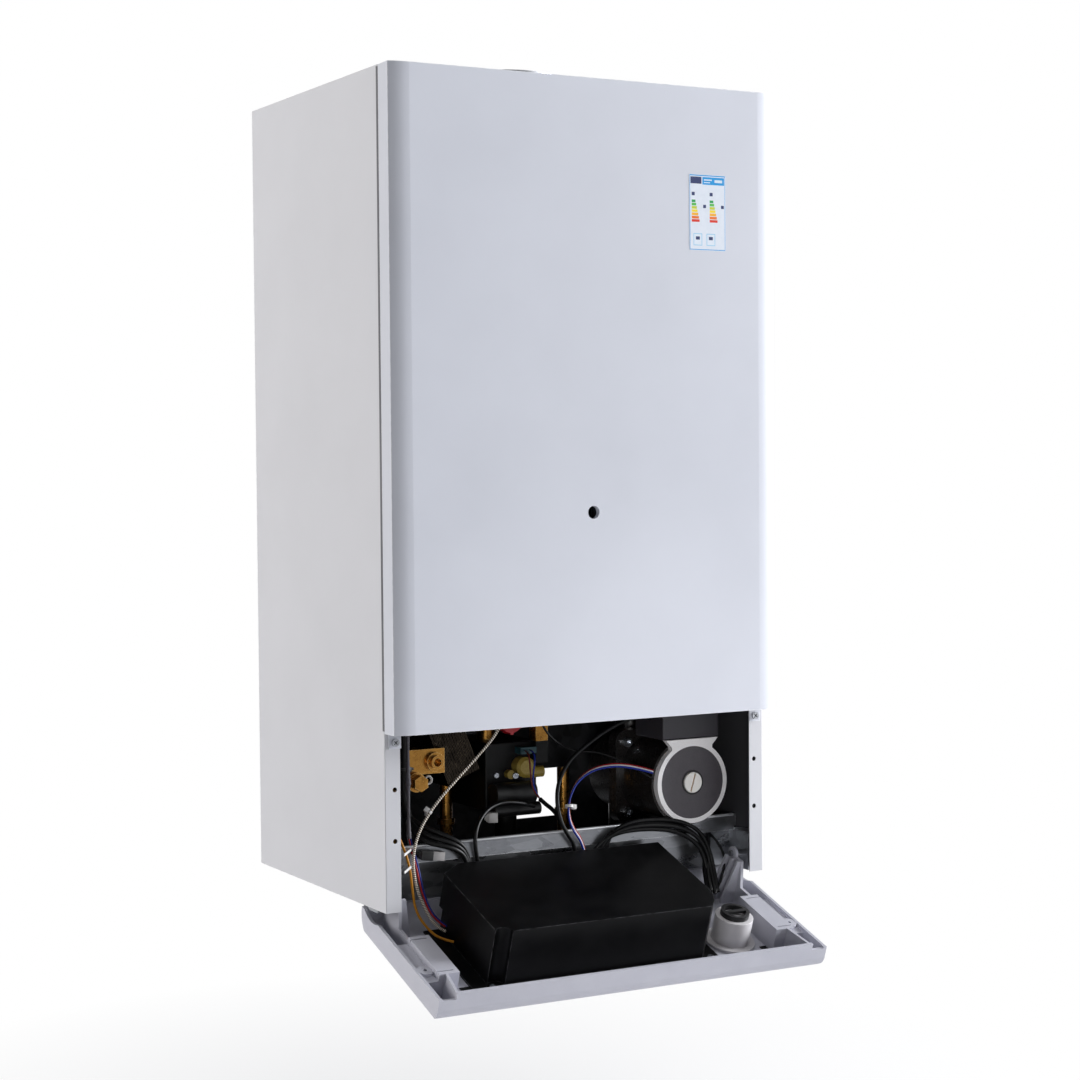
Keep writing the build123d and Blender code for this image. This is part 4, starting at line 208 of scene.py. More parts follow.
wear_and_highlight.links.new(true_normal.outputs["Normal"], turn.inputs[1])
speck = wear_and_highlight.nodes.new("ShaderNodeTexNoise")
speck.inputs["Scale"].default_value = 160
wear_and_highlight.links.new(source.outputs["Place"], speck.inputs["Vector"])
edge = ramp(wear_and_highlight, turn.outputs["Value"], 0.995, 0.93)
wear_and_highlight.links.new(times(wear_and_highlight, edge, ramp(wear_and_highlight, speck.outputs["Fac"], 0.35, 0.6)), out.inputs["Mask"])

# %% [markdown]
# ## One recipe for most finishes
# A finish here is two close tones mixed by an effect's mask, a roughness that follows the same
# mask, a bump from its height and, on hard pieces, a lighter tone at the edges that paints both
# wear and a highlight. Writing it as one function keeps every finish in the same form, with its own
# numbers.

# %% The recipe
effects = {"peel": peel, "grain": grain, "zinc": zinc, "lines": lines, "cast": cast}


def mixed(tree, share, first, second):
    """Mixes two colours, each a socket or four numbers, by a share."""
    node = tree.nodes.new("ShaderNodeMix")
    node.data_type = "RGBA"
    tree.links.new(share, node.inputs["Factor"])
    for slot, value in ((6, first), (7, second)):
        if isinstance(value, tuple):
            node.inputs[slot].default_value = value
        else:
            tree.links.new(value, node.inputs[slot])
    return node.outputs[2]


def finish(name, first, second, rough, effect, size, metal=0.0, spread=0.06, bump=0.1,
           depth=0.0002, stretch=(1, 1, 1), wear_and_highlight_tone=None, width=0.0006, coat=0.0, specular=0.5):
    """Makes a finish from two tones, an effect and the rest of the recipe."""
    material = bpy.data.materials.new(name)
    material.use_nodes = True
    tree = material.node_tree
    shader = tree.nodes["Principled BSDF"]
    shader.inputs["Metallic"].default_value = metal
    shader.inputs["Coat Weight"].default_value = coat
    shader.inputs["Specular IOR Level"].default_value = specular
    place = tree.nodes.new("ShaderNodeTexCoord")
    group = tree.nodes.new("ShaderNodeGroup")
    group.node_tree = effects[effect]
    group.inputs["Size"].default_value = size
    group.inputs["Stretch"].default_value = stretch
    tree.links.new(place.outputs["Object"], group.inputs["Place"])
    colour = mixed(tree, group.outputs["Mask"], first, second)
    roughness = ramp(tree, group.outputs["Mask"], 0, 1, rough - spread, rough + spread)
    # The edge tone paints wear and a highlight along the edges together.
    if wear_and_highlight_tone:
        edges = tree.nodes.new("ShaderNodeGroup")
        edges.node_tree = wear_and_highlight
        edges.inputs["Width"].default_value = width
        tree.links.new(place.outputs["Object"], edges.inputs["Place"])
        colour = mixed(tree, edges.outputs["Mask"], colour, wear_and_highlight_tone)
    tree.links.new(colour, shader.inputs["Base Color"])
    tree.links.new(roughness, shader.inputs["Roughness"])
    relief = tree.nodes.new("ShaderNodeBump")
    relief.inputs["Strength"].default_value = bump
    relief.inputs["Distance"].default_value = depth
    tree.links.new(group.outputs["Height"], relief.inputs["Height"])
    tree.links.new(relief.outputs["Normal"], shader.inputs["Normal"])
    return material


# %% [markdown]
# ## The casing's finishes
# The cover and the side panels are powder-coated steel in two near whites, the panel is moulded
# in a slightly darker grey, and the hidden sheets are bare galvanised steel. Their differences
# are small, so each finish gets its own tones, gloss and grain. Painted shade darkens two of them:
# the sheets at the back of the bay take a darker copy of the galvanised finish, and the side
# walls' inner faces a darker tone of their paint, chosen by place.

# %% Paint, plastic and sheet
# On the cover and the black box the edge tone is set chiefly as a painted highlight along their edges.
cover_paint = finish("cover powder coat", seen(203, 205, 213), seen(207, 209, 217), 0.55, "peel", 900,
                     bump=0.12, depth=0.0001, wear_and_highlight_tone=seen(240, 240, 242), width=0.0012, specular=0.3)
side_paint_and_inner_shade = finish("side powder coat and painted inner shade", seen(204, 204, 208), seen(208, 208, 212), 0.6, "peel", 900,
                    bump=0.12, depth=0.0001, wear_and_highlight_tone=seen(222, 222, 224), width=0.0006, specular=0.25)
panel_plastic = finish("panel plastic", seen(184, 184, 194), seen(190, 190, 199), 0.46, "grain", 1500,
                       bump=0.2, depth=0.0001, wear_and_highlight_tone=seen(205, 206, 214), width=0.0006)
black_box = finish("black box plastic", seen(9, 9, 10), seen(13, 13, 14), 0.34, "grain", 1300,
                   bump=0.2, depth=0.0001, wear_and_highlight_tone=seen(80, 80, 82), width=0.0012, specular=0.14)
black_plastic = finish("black plastic", seen(11, 11, 12), seen(17, 17, 18), 0.42, "grain", 1500,
                       bump=0.2, depth=0.0001, wear_and_highlight_tone=seen(52, 52, 54), width=0.0004)
dark_plastic = finish("dark grey plastic", seen(50, 48, 53), seen(57, 55, 60), 0.5, "grain", 1300,
                      bump=0.3, depth=0.0001, wear_and_highlight_tone=seen(86, 85, 90), width=0.0005)
galvanised = finish("galvanised sheet", seen(118, 120, 124), seen(168, 171, 176), 0.38, "zinc", 110,
                    metal=0.85, spread=0.1, bump=0.05, depth=0.0001, wear_and_highlight_tone=seen(205, 207, 210), width=0.0005)
# A darker copy of the galvanised sheet: painted shade for the back of the bay.
galvanised_in_painted_shade = finish("galvanised sheet in painted shade", seen(58, 58, 61), seen(88, 89, 92), 0.45, "zinc", 110,
                    metal=0.7, spread=0.1, bump=0.05, depth=0.0001, wear_and_highlight_tone=seen(120, 121, 124), width=0.0005)
rail_sheet = finish("streaked galvanised sheet", seen(98, 99, 103), seen(158, 160, 164), 0.32, "zinc", 140,
                    metal=0.85, spread=0.1, bump=0.05, depth=0.0001, stretch=(0.3, 1, 1),
                    wear_and_highlight_tone=seen(225, 226, 228), width=0.0008)
# A lighter zinc on the rail's rolled edge: a real edge with a painted highlight on it.
rolled_edge_with_highlight = finish("rolled zinc edge with painted highlight", seen(196, 198, 201), seen(226, 228, 231), 0.3, "zinc", 140,
                     metal=0.5, bump=0.05, depth=0.0001, stretch=(0.2, 1, 1))
screw_dull = finish("dulled screws", seen(150, 152, 157), seen(186, 188, 193), 0.36, "lines", 500,
                    metal=0.4, spread=0.08, bump=0.1, depth=0.0001, wear_and_highlight_tone=seen(216, 218, 222), width=0.0004)
# A grey that paints the shadow in the gap between the cover and the side walls.
painted_seam_shadow = finish("painted seam shadow", seen(104, 103, 107), seen(118, 117, 121), 0.7, "peel", 700,
                    bump=0.05, depth=0.0001, specular=0.1)
screw_zinc = finish("zinc screws", seen(160, 164, 170), seen(204, 208, 214), 0.28, "lines", 500,
                    metal=1.0, spread=0.08, bump=0.1, depth=0.0001, stretch=(1, 1, 6))

# %% Painted shade on the side walls' inner faces
wall_inside = 0.1994
flange_back = -0.2885
top_under = 0.738
tree = side_paint_and_inner_shade.node_tree
paint = tree.nodes["Principled BSDF"].inputs["Base Color"]
place = tree.nodes.new("ShaderNodeTexCoord")
axes = tree.nodes.new("ShaderNodeSeparateXYZ")
tree.links.new(place.outputs["Object"], axes.inputs[0])
between = sums(tree, "LESS_THAN", sums(tree, "ABSOLUTE", axes.outputs["X"]), wall_inside)
behind = sums(tree, "GREATER_THAN", axes.outputs["Y"], flange_back)
under = sums(tree, "LESS_THAN", axes.outputs["Z"], top_under)
# Where this mask is one, the paint gives way to a darker tone that paints the bay's shade.
inner = times(tree, times(tree, between, behind), under)
tree.links.new(mixed(tree, inner, paint.links[0].from_socket, seen(62, 62, 65)), paint)

# %% [markdown]
# ## Metals, castings and hot parts
# Brass is cast and then turned, so it has a fine sand skin and brighter edges, partly wear and
# partly a painted highlight. Copper tarnishes in slow blots. The stamped plates are smooth, and
# the plate heat exchanger's are a darker copy of them that paints the shade at the back of the
# bay. The combustion box is a pale fibre board.

# %% Metals and boards
brass = finish("brass", seen(150, 106, 50), seen(174, 128, 64), 0.3, "cast", 260,
               metal=1.0, spread=0.08, bump=0.12, depth=0.0002, wear_and_highlight_tone=seen(236, 200, 136), width=0.0007)
copper = finish("copper", seen(142, 78, 52), seen(196, 122, 88), 0.3, "lines", 90,
                metal=1.0, spread=0.1, bump=0.06, depth=0.0001, stretch=(4, 4, 0.5),
                wear_and_highlight_tone=seen(226, 160, 124))
steel_plates = finish("stamped steel", seen(70, 64, 58), seen(116, 108, 98), 0.3, "lines", 220,
                      metal=1.0, spread=0.1, bump=0.08, depth=0.0001, stretch=(0.3, 1, 1),
                      wear_and_highlight_tone=seen(196, 186, 170))
# A darker copy of the stamped steel: painted shade for the plates at the back of the bay.
brazed_plates_in_painted_shade = finish("brazed plates in painted shade", seen(22, 19, 17), seen(42, 37, 32), 0.3, "lines", 220,
                       metal=1.0, spread=0.1, bump=0.05, depth=0.0001, stretch=(0.3, 1, 1),
                       wear_and_highlight_tone=seen(128, 114, 96), width=0.0004)
collar_alloy = finish("cast collar alloy", seen(146, 148, 152), seen(180, 182, 186), 0.45, "cast", 420,
                      metal=0.8, spread=0.08, bump=0.3, depth=0.0003, wear_and_highlight_tone=seen(214, 216, 220),
                      width=0.0008)
valve_alloy = finish("dark valve alloy", seen(7, 7, 8), seen(14, 14, 15), 0.42, "cast", 420,
                     spread=0.08, bump=0.3, depth=0.0003, wear_and_highlight_tone=seen(70, 70, 72), specular=0.2)
pump_black = finish("pump enamel", seen(28, 26, 25), seen(38, 35, 34), 0.3, "cast", 360,
                    spread=0.06, bump=0.22, depth=0.0003, wear_and_highlight_tone=seen(74, 74, 76), width=0.0008, coat=0.2)
pump_grey = finish("pump ring casting", seen(246, 243, 243), seen(253, 251, 251), 0.5, "cast", 700,
                   metal=0.1, bump=0.35, depth=0.0002, wear_and_highlight_tone=seen(254, 253, 253), width=0.0006)
pump_plate = finish("pump face foil", seen(71, 67, 72), seen(80, 76, 81), 0.45, "lines", 700,
                    metal=0.1, bump=0.08, depth=0.0001, wear_and_highlight_tone=seen(150, 147, 150), width=0.0003)
vent_screw = finish("nickel vent screw", seen(254, 250, 242), seen(255, 254, 250), 0.35, "lines", 500,
                    spread=0.05, bump=0.08, depth=0.0001, stretch=(1, 1, 5))
fibre_board = finish("fibre board", seen(206, 200, 186), seen(228, 223, 211), 0.9, "cast", 900,
                     spread=0.04, bump=0.6, depth=0.0004, wear_and_highlight_tone=seen(238, 234, 224))
vessel_red = finish("vessel red paint", seen(150, 30, 26), seen(172, 40, 34), 0.4, "peel", 700,
                    bump=0.2, depth=0.0002, wear_and_highlight_tone=seen(196, 84, 74), width=0.001, coat=0.2)

# %% [markdown]
# ## Mouldings, rubber and the board
# The knob, the caps and the gauge are moulded, so they have a fine even grain and a little gloss,
# and their paler edges are partly wear and partly a painted highlight. Rubber is dull and softer in
# tone, and the circuit board shines under its varnish, which is a clear coat over the green.

# %% Small mouldings
knob_red = finish("red knob plastic", seen(168, 22, 34), seen(188, 30, 42), 0.36, "grain", 1600,
                  bump=0.15, depth=0.0001, wear_and_highlight_tone=seen(214, 84, 88), width=0.0005)
cap_olive = finish("olive cap plastic", seen(136, 116, 46), seen(164, 142, 66), 0.42, "cast", 500,
                   bump=0.2, depth=0.0002, wear_and_highlight_tone=seen(196, 176, 104), width=0.0006)
plug_teal = finish("teal plug plastic", seen(12, 52, 60), seen(18, 68, 76), 0.44, "grain", 1600,
                   bump=0.15, depth=0.0001, wear_and_highlight_tone=seen(70, 128, 134), width=0.0004)
gauge_white = finish("white gauge plastic", seen(201, 198, 200), seen(212, 209, 211), 0.4, "grain", 1600,
                     bump=0.12, depth=0.0001, wear_and_highlight_tone=seen(226, 224, 226), width=0.0005)
needle_red = finish("needle lacquer", seen(190, 32, 28), seen(206, 44, 38), 0.35, "peel", 1500,
                    bump=0.05, depth=0.0001)
tie_white = finish("white nylon", seen(206, 204, 202), seen(222, 220, 218), 0.4, "grain", 1800,
                   bump=0.12, depth=0.0001)
grey_rubber = finish("grey sleeve rubber", seen(74, 71, 78), seen(88, 85, 92), 0.55, "cast", 800,
                     bump=0.2, depth=0.0002)
black_rubber = finish("black rubber", seen(16, 16, 17), seen(26, 26, 27), 0.6, "cast", 800,
                      bump=0.25, depth=0.0002)
board_green = finish("circuit board", seen(20, 74, 44), seen(30, 96, 58), 0.35, "lines", 260,
                     bump=0.1, depth=0.0002, coat=0.4)
print("finishes so far:", len(bpy.data.materials))

# %% [markdown]
# ## Glass
# The sight glass over the burner is clear, and the display sits behind a smoked window. Clear
# glass lets light through, so its transmission is a plain number on the shader.


# %% Clear and smoked
def glass(name, tint, rough, through):
    """Makes a glass whose gloss changes a little over the surface."""
    material = bpy.data.materials.new(name)
    material.use_nodes = True
    tree = material.node_tree
    shader = tree.nodes["Principled BSDF"]
    shader.inputs["Transmission Weight"].default_value = through
    shader.inputs["IOR"].default_value = 1.48
    place = tree.nodes.new("ShaderNodeTexCoord")
    smear = tree.nodes.new("ShaderNodeTexNoise")
    smear.inputs["Scale"].default_value = 60
    tree.links.new(place.outputs["Object"], smear.inputs["Vector"])
    gloss = ramp(tree, smear.outputs["Fac"], 0.3, 0.7, rough, rough + 0.06)
    colour = mixed(tree, smear.outputs["Fac"], tint, tuple(0.96 * value for value in tint))
    tree.links.new(gloss, shader.inputs["Roughness"])
    tree.links.new(colour, shader.inputs["Base Color"])
    return material


clear_glass = glass("clear glass", (0.95, 0.98, 0.97, 1.0), 0.02, 1.0)
smoked_glass = glass("smoked window", seen(22, 24, 30), 0.08, 0.0)

# %% [markdown]
# ## Each CAD piece gets its finish
# A piece whose shape is already right keeps its mesh and only takes a finish. Listing them by
# finish shows at a glance which real parts share a material.

# %% Assign the finishes
wearing = {
    cover_paint: ("front_cover",),
    side_paint_and_inner_shade: ("left_side_panel", "right_side_panel", "top_panel"),
    panel_plastic: ("control_panel",),
    galvanised: ("wall_bracket", "hinge_brackets", "chamber_door", "smoke_hood", "fan_housing"),
    galvanised_in_painted_shade: ("rear_frame", "sealed_chamber"),
    rail_sheet: ("service_tray",),
    screw_dull: ("cover_screws",),
    screw_zinc: ("case_screws", "pump_screws"),
    collar_alloy: ("flue_collar",),
    clear_glass: ("sight_glass",),
    smoked_glass: ("display_window",),
    brass: ("flow_group", "gas_manifold", "water_tails", "heating_tails", "safety_valve"),
    copper: ("flow_pipe", "return_pipe", "heat_exchanger"),
    brazed_plates_in_painted_shade: ("plate_heat_exchanger",),
    steel_plates: ("burner", "electrodes", "diverter_spindle"),
    fibre_board: ("combustion_box",),
    vessel_red: ("expansion_vessel",),
    pump_grey: ("pump_front_ring",),
    pump_plate: ("pump_face_plate",),
    vent_screw: ("pump_bleed_screw",),
    pump_black: ("pump_motor_can", "pump_body"),
    dark_plastic: ("pump_terminal_box", "pump_impeller", "fan_wheel", "fan_motor"),
    black_box: ("electronics_cover",),
    black_plastic: ("gauge_clip", "diverter_motor", "gas_coils", "button_minus", "button_plus",
                    "button_reset"),
    gauge_white: ("gauge",),
    needle_red: ("gauge_needle",),
    board_green: ("control_board",),
    valve_alloy: ("gas_valve",),
    cap_olive: ("governor_cap",),
    plug_teal: ("governor_plug",),
    knob_red: ("safety_knob",),
    black_rubber: ("black_leads", "coloured_leads", "amber_lead", "braided_lead"),
}
for material, names in wearing.items():
    for name in names:
        for slot in nodes[name].material_slots:
            slot.material = material
print("dressed:", sum(len(names) for names in wearing.values()), "of", len(nodes))

# %% [markdown]
# ## Tools for modelling by hand
# New pieces start as a primitive at its true size, are shaped in edit mode, and end with their
# place in the mesh. These helpers do what the hand does in the viewport: add, open, pick by
# place or normal, apply a modifier, and settle the piece on the body that carries it.


# %% Add, open, pick
def fresh(kind, name, size=(1, 1, 1), **settings):
    """Adds a primitive with nothing else selected, applies its place and names it."""
    bpy.ops.object.select_all(action="DESELECT")
    makers = {"cube": bpy.ops.mesh.primitive_cube_add, "plane": bpy.ops.mesh.primitive_plane_add,
              "circle": bpy.ops.mesh.primitive_circle_add, "cylinder": bpy.ops.mesh.primitive_cylinder_add,
              "torus": bpy.ops.mesh.primitive_torus_add}
    if kind in ("cube", "plane"):
        settings["size"] = 1
    makers[kind](**settings)
    piece = bpy.context.object
    piece.name = name
    piece.scale = size
    bpy.ops.object.transform_apply(location=True, rotation=True, scale=True)
    return piece


def only(*pieces):
    """Selects these pieces and nothing else; the first is the active one."""
    bpy.ops.object.select_all(action="DESELECT")
    for piece in pieces:
        piece.select_set(True)
    bpy.context.view_layer.objects.active = pieces[0]


def open_mesh(piece, kind="FACE"):
    """Opens a piece in edit mode with nothing selected."""
    only(piece)
    bpy.ops.object.mode_set(mode="EDIT")
    bpy.ops.mesh.select_mode(type=kind)
    bpy.ops.mesh.select_all(action="DESELECT")


def pick_faces(piece, test):
    """Selects the faces whose middle and normal pass a test."""
    mesh = bmesh.from_edit_mesh(piece.data)
    for face in mesh.faces:
        face.select = test(face.calc_center_median(), face.normal)
    mesh.select_flush_mode()
    bmesh.update_edit_mesh(piece.data)


def pick_all():
    """Selects the whole open mesh."""
    bpy.ops.mesh.select_all(action="SELECT")


def pull(move):
    """Extrudes the selected faces and moves them."""
    bpy.ops.mesh.extrude_region_move(TRANSFORM_OT_translate={"value": move})


def close_mesh():
    """Leaves edit mode with the normals pointing out."""
    pick_all()
    bpy.ops.mesh.normals_make_consistent(inside=False)
    bpy.ops.object.mode_set(mode="OBJECT")


# %% Modify, place, settle
def modify(piece, kind, **settings):
    """Adds one modifier and applies it."""
    only(piece)
    change = piece.modifiers.new(kind, kind)
    for name, value in settings.items():
        setattr(change, name, value)
    bpy.ops.object.modifier_apply(modifier=change.name)


def round_edges(piece, width, segments=2, sharper_than=30):
    """Bevels the edges that turn by more than an angle in degrees."""
    modify(piece, "BEVEL", width=width, segments=segments, limit_method="ANGLE",
           angle_limit=radians(sharper_than))


def join(first, *others):
    """Joins pieces to the first one."""
    only(first, *others)
    bpy.ops.object.join()


def settle(piece, body, material, angle=35):
    """Gives a piece its finish and smooth faces, and puts it on the body that carries it."""
    only(piece)
    bpy.ops.object.transform_apply(location=True, rotation=True, scale=True)
    bpy.ops.object.shade_smooth_by_angle(angle=radians(angle))
    piece.data.materials.clear()
    piece.data.materials.append(material)
    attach(piece, body)
    print(piece.name, "has", len(piece.data.polygons), "faces")


def copies(piece, places):
    """Copies a piece to each place, each with its own mesh, and joins all to the first."""
    twins = []
    for place in places:
        twin = piece.copy()
        twin.data = piece.data.copy()
        bpy.context.collection.objects.link(twin)
        twin.data.transform(place)
        twins.append(twin)
    join(piece, *twins)


# %% [markdown]
# ## The panel's own axes
# The open panel leans, so pieces on it are easiest to model flat: x across, u up the panel and w
# out of its front. The panel leans by 71 degrees on its pins, and one matrix takes the flat
# pieces to where it hangs.

# %% From the panel's axes to the boiler's
panel_lean = radians(71)
panel_pin = Vector((0, -0.2672, 0.0145))
pin_u, pin_w = 0.0145, -0.0238
panel_up = Vector((0, -sin(panel_lean), -cos(panel_lean)))
panel_out = Vector((0, cos(panel_lean), -sin(panel_lean)))
panel_foot = panel_pin - pin_u * panel_up - pin_w * panel_out
panel_axes = Matrix.Identity(4)
for row in range(3):
    panel_axes[row][1] = panel_up[row]
    panel_axes[row][2] = panel_out[row]
    panel_axes[row][3] = panel_foot[row]


def on_panel(piece):
    """Takes a piece modelled flat to its place on the open panel."""
    piece.data.transform(panel_axes)
    return piece


# %% [markdown]
# ## Leads
# Each lead is one smooth line through the points that the CAD model gives, with a round section.
# The line is a spline of order three, so it follows the middle of each run. Where the panel
# swings, a real lead bends with it, its casing end staying and its panel end following. Here such
# a lead is given a reach and left on no body, and the others ride on the casing.


# %% Read a curve's line
def line_of(curve):
    """Reads close points along a curve that has no thickness yet."""
    holder = bpy.data.objects.new("bare line", curve)
    bpy.context.collection.objects.link(holder)
    mesh = bpy.data.meshes.new_from_object(holder)
    points = [vertex.co.copy() for vertex in mesh.vertices]
    bpy.data.objects.remove(holder)
    bpy.data.meshes.remove(mesh)
    return points


# %% Lay a map along a tube
def map_tube(mesh, rings):
    """Gives a tube a map: X runs along it from 0 to 1 and Y round it from 0 to 1."""
    round_count = len(mesh.vertices) // rings
    sheet = mesh.uv_layers[0] if mesh.uv_layers else mesh.uv_layers.new(name="along and round")
    for face in mesh.polygons:
        turns = [(mesh.loops[at].vertex_index % round_count) / round_count for at in face.loop_indices]
        for at, turn in zip(face.loop_indices, turns):
            if max(turns) - turn > 0.5:
                turn += 1
            sheet.data[at].uv = (mesh.loops[at].vertex_index // round_count / (rings - 1), turn)


# %% Draw a lead
def lead(name, points, radius, material, reach=None):
    """Draws a lead in metres from points in millimetres; given a reach it is left on no body, and otherwise
    it rides on the casing.
    """
    metres = [tuple(value / 1000 for value in point) for point in points]
    curve = bpy.data.curves.new(name, "CURVE")
    curve.dimensions = "3D"
    curve.resolution_u = 8
    spline = curve.splines.new("NURBS")
    spline.points.add(len(metres) - 1)
    for point, place in zip(spline.points, metres):
        point.co = (*place, 1)
    spline.order_u = 3
    spline.use_endpoint_u = True
    line = line_of(curve)
    curve.bevel_depth = radius / 1000
    curve.bevel_resolution = 4
    curve.use_fill_caps = True
    piece = bpy.data.objects.new(name, curve)
    bpy.context.collection.objects.link(piece)
    only(piece)
    bpy.ops.object.convert(target="MESH")
    piece = bpy.context.object
    bpy.ops.object.shade_smooth_by_angle(angle=radians(50))
    map_tube(piece.data, len(line))
    piece.data.materials.clear()
    piece.data.materials.append(material)
    if reach:
        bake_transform(piece)
    else:
        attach(piece, "casing")
    return piece


# %% [markdown]
# ### The leads' covers
# The ignition lead has a glass sleeve of two twisted threads, so its finish is a slanted wave over
# the lead's own map, where X runs along it and Y round it. The others are plain PVC.


# %% Twisted sleeve
def twisted(name, first, second, rounds, along):
    """Makes a sleeve of two twisted threads over the piece's own map."""
    material = bpy.data.materials.new(name)
    material.use_nodes = True
    tree = material.node_tree
    shader = tree.nodes["Principled BSDF"]
    where = tree.nodes.new("ShaderNodeUVMap")
    parts = tree.nodes.new("ShaderNodeSeparateXYZ")
    tree.links.new(where.outputs[0], parts.inputs[0])
    across = times(tree, parts.outputs["Y"], rounds * 2 * pi)
    down = times(tree, parts.outputs["X"], along * 2 * pi)
    slant = sums(tree, "SINE", sums(tree, "ADD", across, down))
    thread = ramp(tree, slant, -0.5, 0.4)
    tree.links.new(mixed(tree, thread, first, second), shader.inputs["Base Color"])
    tree.links.new(ramp(tree, thread, 0, 1, 0.85, 0.65), shader.inputs["Roughness"])
    relief = tree.nodes.new("ShaderNodeBump")
    relief.inputs["Strength"].default_value = 0.6
    relief.inputs["Distance"].default_value = 0.0004
    tree.links.new(thread, relief.inputs["Height"])
    tree.links.new(relief.outputs["Normal"], shader.inputs["Normal"])
    return material


glass_braid = twisted("glass braid", seen(120, 98, 76), seen(240, 235, 224), 1, 150)


# %% Plain covers
def cover_of(name, red, green, blue):
    """Makes a PVC lead cover in one colour with slow changes of tone."""
    paler = [min(value + 12, 255) for value in (red, green, blue)]
    return finish(name, seen(red, green, blue), seen(*paler), 0.38, "cast", 500,
                  bump=0.08, depth=0.0001, specular=0.2)


lead_amber = cover_of("amber lead", 186, 122, 26)
lead_red = cover_of("red lead", 150, 26, 32)
lead_white = cover_of("white lead", 214, 210, 208)
lead_blue = cover_of("blue lead", 26, 42, 132)
lead_black = cover_of("black lead", 7, 7, 8)
lead_brown = cover_of("brown lead", 92, 32, 24)

# %% [markdown]
# ### The leads' routes
# In the open bay each lead hangs in its own curve, from the chamber, the pump or the gas valve to
# the black box. A simulated rope would fall its own way, so each route is a list of points chosen
# one by one on the photograph. Leads that run side by side share one list, moved a few millimetres
# apart, and the shifts fade towards an end where the real leads meet.

# %% Leads at the left, from the chamber and the brass group into the black box
left_reach = ((0, -0.258, 0.05), (0, -0.268, -0.015))
braided_points = (
    (-52, -262, 235.5), (-53, -262, 208), (-58, -261, 179), (-69, -259, 150), (-88, -258, 130),
    (-113, -258.5, 108), (-136, -258, 86), (-152, -258.5, 64), (-158, -258, 41),
    (-156.5, -259.5, 17), (-150, -264, -4), (-142, -269, -21), (-132, -271, -26.5),
)
amber_points = (
    (-162.5, -190, 124), (-170, -204, 118), (-174, -224, 104), (-175, -243, 84), (-171, -257, 61),
    (-164, -264, 37), (-162, -265, 14), (-160, -267, -6), (-153, -274, -20), (-144, -282, -30),
    (-132, -287, -33),
)
braided = lead("braided_ignition_lead", braided_points, 1.3, glass_braid, left_reach)
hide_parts("braided_lead")
amber = lead("amber_sensor_lead", amber_points, 1.2, lead_amber, left_reach)
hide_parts("amber_lead")

# %% Black leads between the pump, the coils and the black box
back_reach = ((0, -0.258, 0.06), (0, -0.262, 0.03))
right_reach = ((0, -0.258, 0.045), (0, -0.266, -0.01))
pump_points = (
    (110.4, -232, 150), (88, -233, 149), (62, -236, 141), (36, -239, 128), (13, -241, 113),
    (0, -245, 94), (-5, -251, 76), (-2, -254, 58), (6, -252.5, 46), (14, -250.5, 36), (18, -246.5, 24),
)
coil_points = (
    (-6, -209, 68), (-15, -215, 71), (-29, -220, 75), (-50, -228, 78), (-69, -236, 75),
    (-83, -244, 66), (-91, -250.5, 54), (-90, -250, 40), (-86, -247, 26),
)
thin_points = (
    (-22, -238, 235.5), (-21, -238, 206), (-19, -237, 176), (-12, -234, 150), (3, -229, 133),
    (26, -228, 120), (50, -232, 119), (71, -238, 110), (88, -246, 100), (100, -253, 91),
)
bundle_points = (
    (46, -250.5, 34.5), (54, -253, 43), (72, -255, 48.5), (100, -255, 48), (126, -256, 44),
    (147, -257, 33), (158, -258, 15), (160, -262, -6), (157, -272, -21),
)
pump_lead = lead("pump_cable", pump_points, 2.0, lead_black, back_reach)
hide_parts("black_leads")
lead("coil_cable", coil_points, 2.0, lead_black, back_reach)
lead("thin_black_lead", thin_points, 1.1, lead_black)
bundle_shifts = ((0, -2.4, 0), (0.5, 2.4, 1.5), (3.8, 0.2, 4.6), (-4.2, -0.8, -3.6), (-2.0, 3.4, -4.6))
bundle_shares = (0.3, 0.7, 1, 1, 1, 1, 0.2, 0.2, 0.2)
for number, (x, y, z) in enumerate(bundle_shifts):
    moved = [(a + x, b + y * min(t + 0.2, 1), c + z * t)
             for (a, b, c), t in zip(bundle_points, bundle_shares)]
    moved.insert(0, (42 + 2 * x, -248.5, 25))
    lead(f"bundle_lead_{number + 1}", moved, 2.1, lead_black, right_reach)

# %% Leads down the right wall, and one that loops wide of the others
wall_points = (
    (190, -206, 235.5), (190.5, -206, 185), (190, -207, 135), (189, -210, 98), (185, -217, 68),
    (178, -228, 45), (170, -240, 27), (161, -252, 11), (155, -261, -4), (152, -271, -18),
)
wall_shifts = ((0, 0), (-1.5, -4.6), (0.5, 4.6))
for number, (x, y) in enumerate(wall_shifts):
    moved = [(a + x, b + y, c) for a, b, c in wall_points]
    lead(f"wall_lead_{number + 1}", moved, 2.0, lead_black, right_reach)
loop_points = (
    (158, -214, 44), (166, -228, 38), (172, -244, 30), (177.5, -254, 18), (178, -259, 6),
    (172, -263, -6), (164, -269, -15), (156, -274, -21),
)
lead("loop_lead", loop_points, 1.2, lead_black, right_reach)

